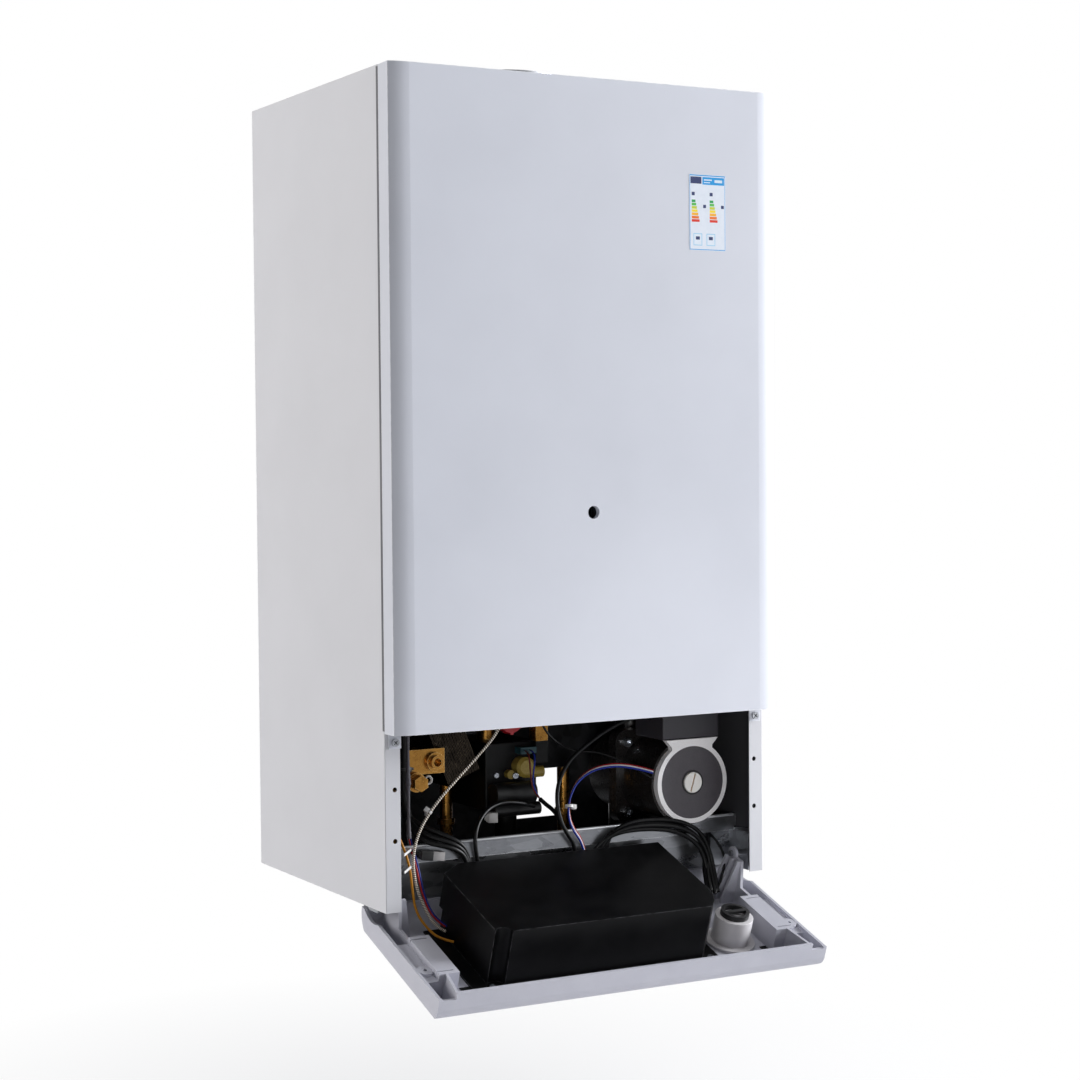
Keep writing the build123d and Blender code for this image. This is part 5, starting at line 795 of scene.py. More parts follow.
# %% The black loom at the left, and the three leads that leave it over the rail
loom_points = (
    (-148, -218, 235.5), (-148.5, -218, 196), (-147, -217.5, 160), (-146, -217, 130),
    (-146.5, -217, 102), (-148, -219, 84), (-147, -226, 71),
)
lead("left_loom", loom_points, 4.2, lead_black)
rail_points = (
    (-148.5, -219, 84), (-147, -226, 71), (-143, -238, 61), (-134, -247, 55.5), (-122, -252.5, 51.5),
    (-110, -254, 46), (-101, -251.5, 38), (-96, -248.5, 25),
)
rail_shifts = ((0, 0, 0), (4.6, 3.2, 4.4), (-3.6, -2.6, -4.8))
rail_shares = (0, 0.2, 0.9, 1, 0.8, 0.6, 0.4, 0.3)
for number, (x, y, z) in enumerate(rail_shifts):
    moved = [(a + x * t, b + y * t, c + z * t) for (a, b, c), t in zip(rail_points, rail_shares)]
    lead(f"rail_lead_{number + 1}", moved, 2.3, lead_black, back_reach)

# %% Two thin wires beside the braided lead, out of the grey sleeve
wire_points = (
    (-153, -240, 56), (-153.5, -244, 47), (-154.5, -253, 40), (-153.5, -258, 28), (-151.5, -261, 12),
    (-148, -265, -3), (-142, -269, -15), (-133, -272, -22),
)
for name, shift, material in (("thin_red_wire", 0, lead_red), ("thin_blue_wire", 2.3, lead_blue)):
    lead(name, [(a + shift, b + shift / 2, c) for a, b, c in wire_points], 0.9, material, left_reach)

# %% Two fine wires from the governor's plug, joined in a black sleeve
plug_brown_points = (
    (-9.5, -199, 120), (-11, -208, 119), (-12, -212, 112), (-11.6, -213, 100), (-11.2, -214, 90),
    (-9, -217, 81), (-5, -222, 75),
)
plug_blue_points = (
    (-3.5, -199, 120), (-4.5, -207, 119), (-5.5, -211, 112), (-8.2, -212, 100), (-9.4, -214, 89),
    (-7, -217, 80), (-4.5, -222, 74),
)
lead("plug_brown_wire", plug_brown_points, 0.8, lead_brown)
lead("plug_blue_wire", plug_blue_points, 0.8, lead_blue)
sleeve_points = ((-6, -220.5, 76.5), (-3, -226, 72), (0, -234, 68), (0, -244, 63), (1, -251, 55))
lead("plug_sleeve", sleeve_points, 2.0, lead_black)

# %% Three coloured strands from the pump
strand_points = (
    (100.5, -252, 98), (82, -249, 104), (60, -245, 107), (38, -243, 104), (20, -245, 94),
    (9, -250, 79), (6, -254, 63), (12, -253, 50), (22, -250.5, 39), (27, -247.5, 27),
)
strands = (("white_strand", (0, 0, 0), lead_white), ("red_strand", (1.4, 1.9, 0.9), lead_red),
           ("blue_strand", (-1.4, -1.9, -0.9), lead_blue))
for name, shift, material in strands:
    shifted = [tuple(a + b for a, b in zip(point, shift)) for point in strand_points]
    strand = lead(name, shifted, 0.9, material, back_reach)
    if name == "white_strand":
        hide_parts("coloured_leads")

# %% [markdown]
# ## Grommets and ties
# A lead that passes through sheet metal does so in a rubber ring, and leads that run together
# are held by nylon ties. Both are small, but without them the leads look as if they grow out of
# the metal. A grommet starts as a ring and is cut flat where it meets the sheet. A tie is a short
# tube with a wall, and a head whose side is pulled out into the cut tail.


# %% A rubber grommet, shaped from a ring
chamber_floor = 0.236
grommet_height = 0.2355
grommet_radius = 0.0016


def grommet(name, x, y, hole):
    """Models a flat-topped rubber ring round a lead that passes down through the chamber's floor."""
    centre = (x, y, grommet_height)
    ring = fresh("torus", name, location=centre, major_radius=hole + grommet_radius,
                 minor_radius=grommet_radius, major_segments=36, minor_segments=12)
    open_mesh(ring, "VERT")
    pick_all()
    bpy.ops.transform.resize(value=(1, 1, 1.5), center_override=centre)
    bpy.ops.mesh.bisect(plane_co=(x, y, chamber_floor), plane_no=(0, 0, 1), clear_outer=True,
                        use_fill=True)
    close_mesh()
    settle(ring, "casing", black_rubber)


grommet("braid_grommet", -0.052, -0.262, 0.0011)
grommet("thin_grommet", -0.022, -0.238, 0.0010)


# %% A nylon tie: a strap, its head and the cut tail
strap_thick = 0.0009
strap_wide = 0.0026


def tie(name, centre, direction, radius, material, tail, roll):
    """Models a cable tie round a lead at centre, square to its direction."""
    strap = fresh("cylinder", name, vertices=32, radius=radius + strap_thick, depth=strap_wide,
                  end_fill_type="NOTHING")
    modify(strap, "SOLIDIFY", thickness=strap_thick, offset=-1)
    head_place = (radius + 2 * strap_thick, 0, 0)
    head = fresh("cube", name + "_head", size=(0.0046, 0.0036, 0.0044), location=head_place)
    open_mesh(head)
    pick_faces(head, lambda middle, normal: normal.y > 0.9)
    bpy.ops.mesh.inset(thickness=0.001)
    pull((0, tail, 0))
    close_mesh()
    round_edges(head, 0.0003)
    join(strap, head)
    turn = Vector(direction).to_track_quat("Z", "Y").to_matrix().to_4x4()
    strap.data.transform(Matrix.Translation(centre) @ turn @ Matrix.Rotation(roll, 4, "Z"))
    settle(strap, "casing", material)


tie("strand_tie", (0.0075, -0.2525, 0.0725), (0.2, 0.35, 1), 0.0030, tie_white, 0.004, 3.6)
tie("left_tie", (-0.1405, -0.2582, 0.0805), (-0.68, -0.05, -0.73), 0.0014, tie_white, 0.017, 2.2)
tie("loom_tie", (-0.1464, -0.2170, 0.115), (0, 0, 1), 0.0042, black_plastic, 0.004, 2.0)
grommet("loom_grommet", -0.148, -0.218, 0.0040)
for number, (x, y) in enumerate(wall_shifts):
    grommet(f"wall_grommet_{number + 1}", 0.190 + x / 1000, -0.206 + y / 1000, 0.0018)
print("ties and grommets done")

# %% [markdown]
# ## Sleeves, plugs and straps
# At the left a grey ribbed sleeve stands beside the flange, a black plug with a pale housing lies
# behind the rail, and two flat nylon straps hold the braided lead to the flange. The coil has its
# own white plug, and the pump's cable leaves the terminal box through a gland. The sleeve is cut
# into rings and drawn in at each one, because a bump in its finish would leave its outline smooth.

# %% The grey ribbed sleeve
sleeve_x, sleeve_y = -0.153, -0.240
first_waist = 0.058
rib_count, rib_pitch = 24, 0.004
sleeve = fresh("cylinder", "grey_sleeve", vertices=32, radius=0.0028, depth=0.100,
               location=(sleeve_x, sleeve_y, 0.105))
open_mesh(sleeve)
pick_faces(sleeve, lambda middle, normal: abs(normal.z) < 0.5)
bpy.ops.mesh.subdivide(number_cuts=1)
close_mesh()
for count in range(rib_count):
    open_mesh(sleeve, "VERT")
    pick_all()
    height = first_waist + rib_pitch * count
    bpy.ops.mesh.bisect(plane_co=(0, 0, height), plane_no=(0, 0, 1))
    bpy.ops.transform.resize(value=(0.86, 0.86, 1), center_override=(sleeve_x, sleeve_y, height))
    pick_all()
    bpy.ops.mesh.bisect(plane_co=(0, 0, height + rib_pitch / 2), plane_no=(0, 0, 1))
    close_mesh()
settle(sleeve, "casing", grey_rubber, 60)


# %% A plug: a body drawn in at one end, with a grip and a latch
def plug(name, size, place, turn, material):
    """Models a small connector housing, long along x, and turns it at its place."""
    piece = fresh("cube", name, size=size)
    open_mesh(piece)
    pick_faces(piece, lambda middle, normal: normal.x < -0.9)
    bpy.ops.mesh.inset(thickness=0.0008)
    pull((-size[0] * 0.25, 0, 0))
    bpy.ops.transform.resize(value=(1, 0.7, 0.7))
    bpy.ops.mesh.inset(thickness=0.0006)
    pull((size[0] * 0.1, 0, 0))
    bpy.ops.mesh.select_all(action="DESELECT")
    pick_faces(piece, lambda middle, normal: normal.z > 0.9 and middle.x > 0)
    bpy.ops.mesh.inset(thickness=0.0012)
    pull((0, 0, 0.0008))
    close_mesh()
    round_edges(piece, 0.0003)
    turned = Matrix.Rotation(turn, 4, "Y") @ Matrix.Rotation(-0.2, 4, "Z")
    piece.data.transform(Matrix.Translation(place) @ turned)
    settle(piece, "casing", material)


pale_plastic = finish("pale housing plastic", seen(176, 172, 172), seen(190, 187, 186), 0.45, "grain", 1600,
                      bump=0.12, depth=0.0001, wear_and_highlight_tone=seen(214, 211, 210), width=0.0004)
plug("coil_plug", (0.009, 0.009, 0.0095), (-0.0475, -0.2020, 0.0600), 0.0, tie_white)
plug("sensor_plug", (0.011, 0.008, 0.009), (-0.1400, -0.2500, 0.0400), 0.12, black_plastic)
plug("sensor_socket", (0.012, 0.0075, 0.008), (-0.1290, -0.2500, 0.0385), 0.12, pale_plastic)

# %% The lead that the plug hangs on
sensor_points = (
    (-153, -234, 70), (-154.5, -238, 60), (-155.5, -242, 52), (-155, -247, 45), (-151, -249.5, 42),
    (-145, -250.3, 41),
)
lead("sensor_lead", sensor_points, 1.3, lead_black)

# %% Straps from the flange round the braided lead
for number, height in enumerate((0.0490, 0.0335)):
    strap = fresh("cube", f"flat_strap_{number + 1}", size=(0.028, 0.0009, 0.0024))
    open_mesh(strap)
    pick_faces(strap, lambda middle, normal: normal.x > 0.9)
    pull((0.003, 0.0022, 0))
    pull((0.002, 0.0030, 0))
    bpy.ops.transform.rotate(value=-0.7, orient_axis="Z", center_override=(0.019, 0.0052, 0))
    close_mesh()
    round_edges(strap, 0.0003)
    strap.data.transform(Matrix.Translation((-0.1708, -0.2745, height)) @ Matrix.Rotation(0.91, 4, "Z"))
    settle(strap, "casing", tie_white)

# %% The pump cable's gland on the terminal box
gland = fresh("cylinder", "cable_gland", vertices=6, radius=0.0056, depth=0.004,
              location=(0.1090, -0.232, 0.150), rotation=(0, -pi / 2, 0))
open_mesh(gland)
pick_faces(gland, lambda middle, normal: normal.x < -0.9)
bpy.ops.mesh.inset(thickness=0.0012)
pull((-0.0035, 0, 0))
bpy.ops.transform.resize(value=(1, 0.82, 0.82))
pull((-0.004, 0, 0))
bpy.ops.transform.resize(value=(1, 0.8, 0.8))
close_mesh()
round_edges(gland, 0.0004)
settle(gland, "casing", black_plastic)

# %% [markdown]
# ## Small screws, seams and rings
# Two pan-head screws hold the gas valve, and a cutter with a Boolean makes their crosses. Where
# the cover meets the side walls a grey strip paints the shadow in the seam, the rail has a rolled
# edge in a lighter zinc that paints its highlight, and the vent screw sits in a black ring that
# paints the shade of its hole, with brass at the bottom of its slot. Dark strips paint the shade
# in the crosses of the cover's screws. The flow sensor has a white ring, and two black trays
# paint the shade of the recesses in the panel's floor. Each is a thin piece of its own, because
# the light then catches its real edge from every side.


# %% Cross-head screws on the governor's ear and the valve's face
def cross_screw(name, place, radius):
    """Models a pan-head screw that faces the front, and cuts the cross into its head."""
    head = fresh("cylinder", name, vertices=32, radius=radius, depth=0.0020, location=(0, -0.0010, 0),
                 rotation=(pi / 2, 0, 0))
    round_edges(head, 0.0007, 3, 60)
    for turn in (pi / 4, -pi / 4):
        cutter = fresh("cube", "cutter", size=(radius * 1.3, 0.0024, radius * 0.3),
                       location=(0, -0.0022, 0), rotation=(0, turn, 0))
        modify(head, "BOOLEAN", object=cutter, operation="DIFFERENCE")
        bpy.data.objects.remove(cutter)
    head.data.transform(Matrix.Translation(place))
    settle(head, "casing", screw_zinc)


cross_screw("ear_screw", (-0.0215, -0.2000, 0.0972), 0.0031)
cross_screw("valve_screw", (-0.0400, -0.1965, 0.0985), 0.0026)

# %% Grey strips that paint the shadow in the seams between the cover and the side walls
seam_size = (0.0004, 0.0034, 0.578)
seam_x, seam_y, seam_z = 0.20005, -0.2897, 0.4495
for name, way in (("left_seam_shadow", -1), ("right_seam_shadow", 1)):
    seam = fresh("cube", name, size=seam_size, location=(way * seam_x, seam_y, seam_z))
    round_edges(seam, 0.00008, 1)
    settle(seam, "casing", painted_seam_shadow)

# %% The rolled edge along the rail's top, in a lighter zinc that paints its highlight
bead_spans = ((-0.1965, 0.1195), (0.1665, 0.1965))
bead_y, bead_z = -0.2458, 0.0482
for number, (x0, x1) in enumerate(bead_spans):
    bead = fresh("cylinder", f"rail_bead_{number + 1}", vertices=24, radius=0.0013, depth=x1 - x0,
                 location=((x0 + x1) / 2, bead_y, bead_z), rotation=(0, pi / 2, 0))
    round_edges(bead, 0.0003)
    settle(bead, "casing", rolled_edge_with_highlight)

# %% A black ring round the vent screw that paints the shade of its hole
vent_x, vent_z = 0.143, 0.085
slot_lean = radians(17)
painted_shadow_ring = fresh("cylinder", "vent_shadow_ring", vertices=64, radius=0.0119, depth=0.0008,
             location=(vent_x, -0.2558, vent_z), rotation=(pi / 2, 0, 0), end_fill_type="NOTHING")
modify(painted_shadow_ring, "SOLIDIFY", thickness=0.0016, offset=-1)
round_edges(painted_shadow_ring, 0.0002, 2, 50)
settle(painted_shadow_ring, "casing", black_plastic)

# %% Painted shade in the crosses of the cover's screws: flat dark strips on each head
screw_x, screw_y, screw_z = 0.1904, -0.2935, 0.1503
cross_shadows = []
for x in (-screw_x, screw_x):
    for turn in (pi / 4, -pi / 4):
        cross_shadows.append(fresh("cube", "screw_cross_shadows", size=(0.0046, 0.0003, 0.0008),
                             location=(x, screw_y, screw_z), rotation=(0, turn, 0)))
join(*cross_shadows)
settle(cross_shadows[0], "front_cover", black_rubber)

# %% Brass shows at the bottom of the vent screw's slot
slot_floor = fresh("cube", "slot_floor", size=(0.0014, 0.0003, 0.0172), location=(0, 0, 0))
round_edges(slot_floor, 0.00006, 1)
slot_place = Matrix.Translation((vent_x, -0.25565, vent_z))
slot_floor.data.transform(slot_place @ Matrix.Rotation(slot_lean, 4, "Y"))
settle(slot_floor, "pump_bleed_screw", brass)

# %% The white ring of the flow sensor
ring = fresh("torus", "sensor_ring", location=(0, 0, 0), major_radius=0.0036, minor_radius=0.0011,
             major_segments=36, minor_segments=10, rotation=(pi / 2, 0, 0))
open_mesh(ring, "VERT")
pick_all()
bpy.ops.transform.resize(value=(1, 1.6, 1), center_override=(0, 0, 0))
close_mesh()
ring.data.transform(Matrix.Translation((-0.1158, -0.2050, 0.1010)))
settle(ring, "casing", tie_white)

# %% Black trays that paint the shade of the recesses in the panel's floor beside the two blocks
recess_spans = ((-0.1570, -0.1425), (0.1580, 0.1725))
for number, (x0, x1) in enumerate(recess_spans):
    painted_recess_shade = fresh("cube", f"floor_recess_shadow_{number + 1}", size=(x1 - x0, 0.0046, 0.0008),
                   location=((x0 + x1) / 2, 0.1155 - 0.0005 * number, 0.0206))
    open_mesh(painted_recess_shade)
    pick_faces(painted_recess_shade, lambda middle, normal: normal.z < -0.9)
    bpy.ops.mesh.inset(thickness=0.0005)
    pull((0, 0, 0.0006))
    close_mesh()
    settle(on_panel(painted_recess_shade), "control_panel", black_plastic)
print("small pieces done")

# %% [markdown]
# ## Threads on the five tails
# The pipes below the casing end in threads. One ridge is drawn as a small triangle and swept by
# the Screw modifier, which turns and climbs at once, and then copied to each tail.


# %% Sweep one thread and copy it
thread_turns, thread_climb = 8, 0.0144
thread_foot = -0.0225
tails_y = -0.14


def thread(name, radius, columns):
    """Sweeps a thread of the given radius and copies it to each column."""
    bpy.ops.object.select_all(action="DESELECT")
    bpy.ops.mesh.primitive_circle_add(vertices=3, radius=0.0008, fill_type="NOTHING",
                                      rotation=(pi / 2, 0, 0))
    ridge = bpy.context.object
    ridge.name = name
    bpy.ops.object.transform_apply(rotation=True)
    ridge.data.transform(Matrix.Translation((radius, 0, thread_foot)))
    modify(ridge, "SCREW", axis="Z", angle=thread_turns * 2 * pi, screw_offset=thread_climb, steps=256,
           render_steps=256, use_normal_calculate=True)
    open_mesh(ridge)
    close_mesh()
    first, *rest = columns
    ridge.data.transform(Matrix.Translation((first, tails_y, 0)))
    copies(ridge, [Matrix.Translation((column - first, 0, 0)) for column in rest])
    settle(ridge, "casing", brass, 60)


thread("heating_threads", 0.0129, (-0.13, 0.0, 0.13))
thread("water_threads", 0.0102, (-0.065, 0.065))

# %% [markdown]
# ## The gauge
# The pressure gauge is a white cup behind the panel with a bezel and a clear lens in front. It is
# rebuilt here in three pieces, so that the lens can be glass over a printed dial.

# %% Cup and bezel
gauge_x, gauge_u = 0.134, 0.097
cup = fresh("cylinder", "gauge_cup", vertices=96, radius=0.018, depth=0.028,
            location=(gauge_x, gauge_u, 0.007))
open_mesh(cup)
pick_faces(cup, lambda middle, normal: normal.z < -0.9)
bpy.ops.mesh.inset(thickness=0.0046)
bpy.ops.mesh.inset(thickness=0.0030)
pull((0, 0, 0.0012))
bpy.ops.mesh.inset(thickness=0.0040)
pull((0, 0, -0.0018))
close_mesh()
flange = fresh("cylinder", "gauge_flange", vertices=96, radius=0.024, depth=0.003,
               location=(gauge_x, gauge_u, 0.0195))
round_edges(flange, 0.0006, 3)
round_edges(cup, 0.0005, 3)
join(cup, flange)
settle(on_panel(cup), "control_panel", gauge_white)
bezel = fresh("cylinder", "gauge_bezel", vertices=96, radius=0.023, depth=0.00145,
              location=(gauge_x, gauge_u, 0.024775))
open_mesh(bezel)
pick_faces(bezel, lambda middle, normal: normal.z > 0.9)
bpy.ops.mesh.inset(thickness=0.005)
pull((0, 0, -0.0026))
close_mesh()
round_edges(bezel, 0.0003, 2, 60)
settle(on_panel(bezel), "control_panel", gauge_white)
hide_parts("gauge")

# %% [markdown]
# ### The dial
# A dial could be a picture on a disc. Here each mark is a flat piece just above the disc, so it
# stays sharp however close the camera comes. The ticks are thin strips turned round the middle,
# every sixth one longer, and the two coloured bands are short strips spun along the scale.

# %% Lens and dial marks
lens = fresh("cylinder", "gauge_lens", vertices=96, radius=0.018, depth=0.0006,
             location=(gauge_x, gauge_u, 0.0252))
round_edges(lens, 0.0002)
settle(on_panel(lens), "control_panel", clear_glass)
tick_w, band_w = 0.02296, 0.02294
band_inner, band_outer = 0.0153, 0.0166
tick_count, tick_step = 25, 10


def ink(name, first, second):
    """Makes a printing ink from two close tones."""
    return finish(name, first, second, 0.6, "peel", 1200, bump=0.05, depth=0.0001)


ink_black = ink("black ink", seen(24, 24, 26), seen(32, 32, 34))
ink_green = ink("green ink", seen(40, 132, 70), seen(50, 146, 80))
ink_red = ink("red ink", seen(188, 34, 34), seen(200, 44, 44))


def dial_tick(turn, inner, outer, width):
    """Adds one flat mark on the dial at a turn from straight down, in radians."""
    mark = fresh("plane", "tick", size=(width, outer - inner, 1), location=(0, (inner + outer) / 2, 0))
    mark.data.transform(Matrix.Translation((gauge_x, gauge_u, tick_w)) @ Matrix.Rotation(turn, 4, "Z"))
    return mark


def spin_round(piece, steps, angle):
    """Spins a flat strip round the origin and closes its joints."""
    open_mesh(piece)
    pick_all()
    bpy.ops.mesh.spin(steps=steps, angle=angle, center=(0, 0, 0), axis=(0, 0, 1))
    pick_all()
    bpy.ops.mesh.remove_doubles(threshold=0.00001)
    close_mesh()


def dial_band(name, first, last, material):
    """Sweeps a flat coloured band round the dial between two turns in degrees."""
    band = fresh("plane", name, size=(0.0002, band_outer - band_inner, 1),
                 location=(0, (band_inner + band_outer) / 2, 0))
    band.data.transform(Matrix.Rotation(radians(first), 4, "Z"))
    spin_round(band, 24, radians(last) - radians(first))
    band.data.transform(Matrix.Translation((gauge_x, gauge_u, band_w)))
    settle(on_panel(band), "control_panel", material)


ticks = []
for count in range(tick_count):
    inner, width = (0.0118, 0.0006) if count % 6 == 0 else (0.0132, 0.0003)
    ticks.append(dial_tick(radians(90 - tick_step * count), inner, 0.0150, width))
join(*ticks)
ticks[0].name = "dial_ticks"
settle(on_panel(ticks[0]), "control_panel", ink_black)
dial_band("dial_green_band", 10, 50, ink_green)
dial_band("dial_red_band", -150, -110, ink_red)

# %% [markdown]
# ## Signs on the buttons
# The three buttons carry a minus, a plus and a turning arrow. They are thin raised shapes in a
# light grey. The minus and the plus come from a bar whose sides are pulled out, and the arrow is
# a strip spun round most of a circle, with a three-sided tip.

# %% Minus and plus
sign_grey = finish("sign grey", seen(196, 197, 202), seen(206, 207, 212), 0.45, "grain", 1800,
                   bump=0.1, depth=0.0001)
button_u, face_w = 0.056, 0.0256
bar_long, bar_wide, bar_thick = 0.007, 0.0012, 0.0003


def bar_sign(name, x, upright, body):
    """Models a bar, and pulls its sides out into a plus where it is upright too."""
    size = (bar_wide if upright else bar_long, bar_wide, bar_thick)
    sign = fresh("cube", name, size=size, location=(x, button_u, face_w))
    if upright:
        for axis, way in ((0, 1), (0, -1), (1, 1), (1, -1)):
            centre = (x, button_u)[axis]
            open_mesh(sign)
            pick_faces(sign, lambda middle, normal: normal[axis] * way > 0.9
                       and abs(middle[axis] - centre) < 0.001)
            push = [0, 0, 0]
            push[axis] = (bar_long - bar_wide) / 2 * way
            pull(push)
            close_mesh()
    settle(on_panel(sign), body, sign_grey)


bar_sign("minus_sign", -0.040, False, "button_minus")
bar_sign("plus_sign", -0.010, True, "button_plus")

# %% Turning arrow
arrow_radius = 0.0030
arrow = fresh("plane", "reset_sign", size=(0.0002, 0.0011, 1), location=(0, arrow_radius, 0))
spin_round(arrow, 30, radians(285))
tip = fresh("circle", "arrow_tip", vertices=3, radius=0.0018, fill_type="NGON",
            location=(0.0006, arrow_radius, 0), rotation=(0, 0, -pi / 2))
join(arrow, tip)
modify(arrow, "SOLIDIFY", thickness=bar_thick, offset=0)
arrow.data.transform(Matrix.Translation((0.020, button_u, face_w)))
settle(on_panel(arrow), "button_reset", sign_grey)

# %% [markdown]
# ## The plain sticker on the cover
# A thin white sticker with a blue header and two stacks of coloured bars sits at the upper
# right of the cover. Its colours are bands in the finish, laid out in millimetres over the
# sticker by its own Object coordinates.

# %% Sticker sheet
sticker_x, sticker_z = 0.1244, 0.62475
cover_face = -0.31498
sticker = fresh("plane", "plain_sticker", size=(0.040, 0.070, 1),
                location=(sticker_x, cover_face, sticker_z), rotation=(pi / 2, 0, 0))
open_mesh(sticker, "VERT")
pick_all()
bpy.ops.mesh.bevel(offset=0.0012, segments=4, affect="VERTICES")
pick_all()
pull((0, -0.0002, 0))
close_mesh()

# %% Bands of colour
label = bpy.data.materials.new("sticker print")
label.use_nodes = True
tree = label.node_tree
shader = tree.nodes["Principled BSDF"]
shader.inputs["Specular IOR Level"].default_value = 0.4
place = tree.nodes.new("ShaderNodeTexCoord")
parts = tree.nodes.new("ShaderNodeSeparateXYZ")
tree.links.new(place.outputs["Object"], parts.inputs[0])
right = times(tree, sums(tree, "SUBTRACT", parts.outputs["X"], sticker_x), 1000)
up = times(tree, sums(tree, "SUBTRACT", parts.outputs["Z"], sticker_z), 1000)


def inside(x0, x1, z0, z1):
    """Gives 1 between two x and two z in millimetres from the sticker's middle, and 0 outside."""
    across = times(tree, sums(tree, "GREATER_THAN", right, x0), sums(tree, "LESS_THAN", right, x1))
    upwards = times(tree, sums(tree, "GREATER_THAN", up, z0), sums(tree, "LESS_THAN", up, z1))
    return times(tree, across, upwards)


fleck = tree.nodes.new("ShaderNodeTexNoise")
fleck.inputs["Scale"].default_value = 300
tree.links.new(place.outputs["Object"], fleck.inputs["Vector"])
colour = mixed(tree, fleck.outputs["Fac"], seen(216, 222, 232), seen(226, 231, 239))
blue, navy, pale = seen(40, 150, 214), seen(52, 62, 104), seen(214, 226, 236)
bands = [((-19.6, 19.6, 33.6, 34.6), blue), ((-19.6, 19.6, -34.6, -33.9), blue),
         ((-19.6, -19.1, -34.6, 34.6), blue), ((19.1, 19.6, -34.6, 34.6), blue),
         ((-18.6, -6.5, 26.4, 32.8), navy), ((-5.5, 18.6, 25.8, 32.8), blue),
         ((-3.8, 5.0, 29.6, 30.8), pale), ((-3.8, 3.0, 27.4, 28.2), pale),
         ((8.0, 16.4, 28.0, 30.6), pale)]
stack = [seen(46, 158, 84), seen(90, 184, 84), seen(196, 206, 60), seen(240, 214, 50),
         seen(242, 176, 46), seen(232, 118, 44), seen(216, 60, 44)]
for left in (-17.4, 2.4):
    for count, tone in enumerate(stack):
        top = 11.5 - 3.0 * count
        bands.append(((left, left + 4.2 + 0.75 * count, top - 2.4, top), tone))
    bands.append(((left + 12.6, left + 15.8, 4.2, 7.2), navy))
    bands.append(((left, left + 3.4, 15.4, 18.6), navy))
for left in (-15.6, -1.2):
    bands.append(((left, left + 9.6, -30.6, -19.4), seen(150, 200, 228)))
    bands.append(((left + 0.7, left + 8.9, -29.9, -20.1), seen(220, 228, 238)))
    bands.append(((left + 2.6, left + 7.0, -25.2, -22.2), navy))
for (x0, x1, z0, z1), tone in bands:
    colour = mixed(tree, inside(x0, x1, z0, z1), colour, tone)
tree.links.new(colour, shader.inputs["Base Color"])
tree.links.new(ramp(tree, fleck.outputs["Fac"], 0.3, 0.7, 0.3, 0.36), shader.inputs["Roughness"])
settle(sticker, "front_cover", label)
print("bands on the sticker:", len(bands))

# %% [markdown]
# ## Screws round the chamber's door
# Behind the cover, the chamber's door is held by hexagon-headed screws along its top, its foot and
# both sides. One is modelled with its washer and copied to every place.

# %% A flanged hexagon screw
hexagon = fresh("cylinder", "door_screws", vertices=6, radius=0.0042, depth=0.0026, location=(0, 0, 0.0017))
open_mesh(hexagon)
pick_faces(hexagon, lambda middle, normal: normal.z > 0.9)
bpy.ops.mesh.inset(thickness=0.0008)
bpy.ops.transform.translate(value=(0, 0, 0.0004))
bpy.ops.mesh.inset(thickness=0.0009)
bpy.ops.transform.translate(value=(0, 0, -0.0004))
close_mesh()
washer = fresh("cylinder", "washer", vertices=32, radius=0.0056, depth=0.0008, location=(0, 0, 0.0004))
join(hexagon, washer)
round_edges(hexagon, 0.0002)
facing_front = Matrix.Rotation(pi / 2, 4, "X")
door_front = -0.288
spots = [(x, z) for z in (0.242, 0.732) for x in (-0.15, -0.075, 0.0, 0.075, 0.15)]
spots += [(x, z) for x in (-0.193, 0.193) for z in (0.30, 0.40, 0.50, 0.60, 0.68)]
first_x, first_z = spots[0]
hexagon.data.transform(Matrix.Translation((first_x, door_front, first_z)) @ facing_front)
copies(hexagon, [Matrix.Translation((x - first_x, 0, z - first_z)) for x, z in spots[1:]])
settle(hexagon, "casing", screw_zinc)

# %% [markdown]
# ## Light, floor and camera
# A boiler photographed for a catalogue stands in soft light from two sides and a little from
# above, with the corner between the sides left darker. Large area lights give that, because their
# shadows have wide edges. A narrow lamp just below the camera reaches into the bay.

# %% Soft lights
boiler_middle = (0, -0.16, 0.36)


def hang(lamp, place, target):
    """Hangs a lamp at its place and turns it to a target."""
    holder = bpy.data.objects.new(lamp.name, lamp)
    bpy.context.collection.objects.link(holder)
    holder.location = place
    holder.rotation_euler = (Vector(target) - Vector(place)).to_track_quat("-Z", "Y").to_euler()


def soft_light(name, place, width, height, power, tint=(1, 1, 1)):
    """Adds a large area light that looks at the boiler's middle."""
    lamp = bpy.data.lights.new(name, "AREA")
    lamp.shape = "RECTANGLE"
    lamp.size, lamp.size_y = width, height
    lamp.energy = power
    lamp.color = tint
    hang(lamp, place, boiler_middle)


soft_light("front right light", (3.9, -1.5, 1.2), 1.5, 2.2, 300, (0.95, 0.97, 1.0))
soft_light("left light", (-3.3, 1.9, 1.3), 1.8, 2.2, 108, (1.0, 0.985, 0.965))
soft_light("top light", (-0.1, -1.3, 3.3), 1.8, 1.6, 20)

# %% A narrow lamp into the bay
spot = bpy.data.lights.new("bay light", "SPOT")
spot.energy = 95
spot.shadow_soft_size = 0.2
spot.spot_size = radians(8.5)
spot.spot_blend = 1.0
hang(spot, (-0.95, -2.15, 0.12), (0.10, -0.27, 0.105))
print("lamps:", len(bpy.data.lights))

# %% [markdown]
# ### The white round the boiler
# A white room would throw its own light on the boiler. So the world has two colours: a weak one
# that lights, and a white one that is seen by the camera, through glass and, at less than half, in
# polished metal. The floor glows white for the camera too, and only near the boiler does it keep
# a part of its shadow.

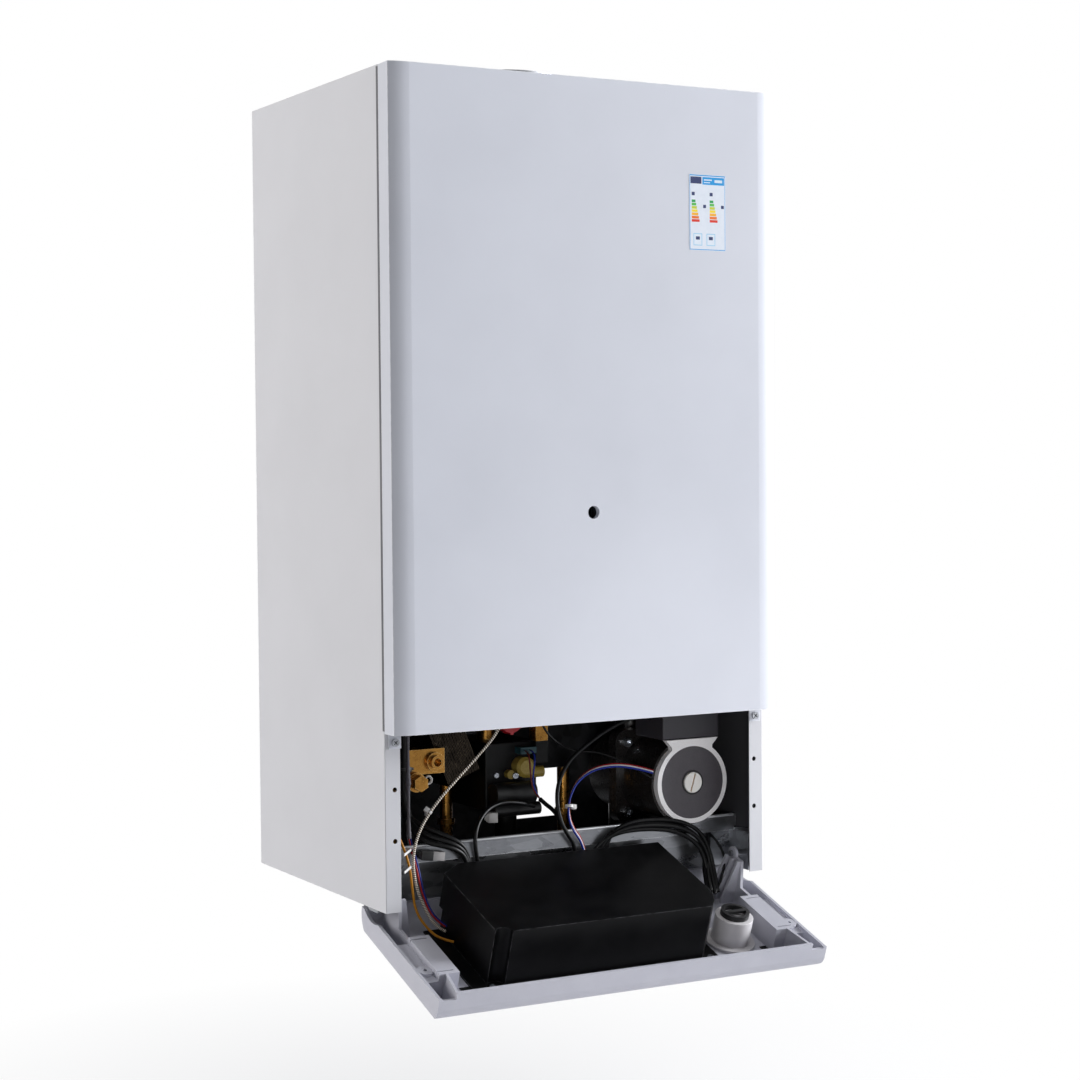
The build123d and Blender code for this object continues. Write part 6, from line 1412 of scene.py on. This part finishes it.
# %% World seen as white
world = bpy.data.worlds.new("studio")
bpy.context.scene.world = world
world.use_nodes = True
tree = world.node_tree
tree.nodes.clear()
out = tree.nodes.new("ShaderNodeOutputWorld")
seen_by = tree.nodes.new("ShaderNodeLightPath")
fill = tree.nodes.new("ShaderNodeBackground")
fill.inputs["Color"].default_value = (0.93, 0.95, 1.0, 1.0)
fill.inputs["Strength"].default_value = 0.14
white = tree.nodes.new("ShaderNodeBackground")
white.inputs["Strength"].default_value = 1.0
white.inputs["Color"].default_value = (1, 1, 1, 1)
rays = sums(tree, "MAXIMUM", seen_by.outputs["Is Camera Ray"], seen_by.outputs["Is Transmission Ray"])
glossy = times(tree, seen_by.outputs["Is Glossy Ray"], 0.45)
blend_world = tree.nodes.new("ShaderNodeMixShader")
tree.links.new(sums(tree, "MAXIMUM", rays, glossy), blend_world.inputs[0])
tree.links.new(fill.outputs[0], blend_world.inputs[1])
tree.links.new(white.outputs[0], blend_world.inputs[2])
tree.links.new(blend_world.outputs[0], out.inputs[0])

# %% Pale floor that keeps the shadow
shade_reach, glow_reach = 0.25, 0.8
shade_share = 0.42
floor = fresh("plane", "floor", size=(14, 14, 1), location=(0, 0, -0.30))
floor_paint = bpy.data.materials.new("pale floor")
floor_paint.use_nodes = True
tree = floor_paint.node_tree
shader = tree.nodes["Principled BSDF"]
shader.inputs["Base Color"].default_value = (0.86, 0.86, 0.87, 1)
shader.inputs["Roughness"].default_value = 0.9
glow = tree.nodes.new("ShaderNodeEmission")
glow.inputs["Strength"].default_value = 1.0
seen_by = tree.nodes.new("ShaderNodeLightPath")
where = tree.nodes.new("ShaderNodeTexCoord")
reach = tree.nodes.new("ShaderNodeVectorMath")
reach.operation = "LENGTH"
tree.links.new(where.outputs["Object"], reach.inputs[0])
fade = ramp(tree, reach.outputs["Value"], shade_reach, glow_reach, shade_share, 1.0)
share = times(tree, seen_by.outputs["Is Camera Ray"], fade)
blend_floor = tree.nodes.new("ShaderNodeMixShader")
tree.links.new(share, blend_floor.inputs[0])
tree.links.new(shader.outputs[0], blend_floor.inputs[1])
tree.links.new(glow.outputs[0], blend_floor.inputs[2])
tree.links.new(blend_floor.outputs[0], tree.nodes["Material Output"].inputs[0])
floor.data.materials.append(floor_paint)

# %% [markdown]
# ### The camera
# A photograph's perspective tells where it was taken from. The corners of the casing, set against
# its size, give the camera's place, its turn and its focal length in pixels of the photograph.
# The turn is kept as a table of nine numbers and squared up, because they are rounded.

# %% The camera, from the photograph's own perspective
photo_side = 1080
focal_pixels = 2222.1
sensor = 36
camera_place = (-1.0197, -2.0495, 0.3967)
camera_data = bpy.data.cameras.new("camera")
camera_data.sensor_width = sensor
camera_data.lens = focal_pixels * sensor / photo_side
camera = bpy.data.objects.new("camera", camera_data)
bpy.context.collection.objects.link(camera)
bpy.context.scene.camera = camera
turned = Matrix((
    (0.874, 0.0244, -0.4853, 0),
    (-0.4859, 0.0276, -0.8736, 0),
    (-0.0079, 0.9993, 0.036, 0),
    (0, 0, 0, 1),
))
squared = turned.to_quaternion().to_matrix().to_4x4()
camera.matrix_world = Matrix.Translation(camera_place) @ squared
bpy.context.scene.view_settings.view_transform = "Standard"
print("the camera's lens:", round(camera_data.lens, 1), "mm")
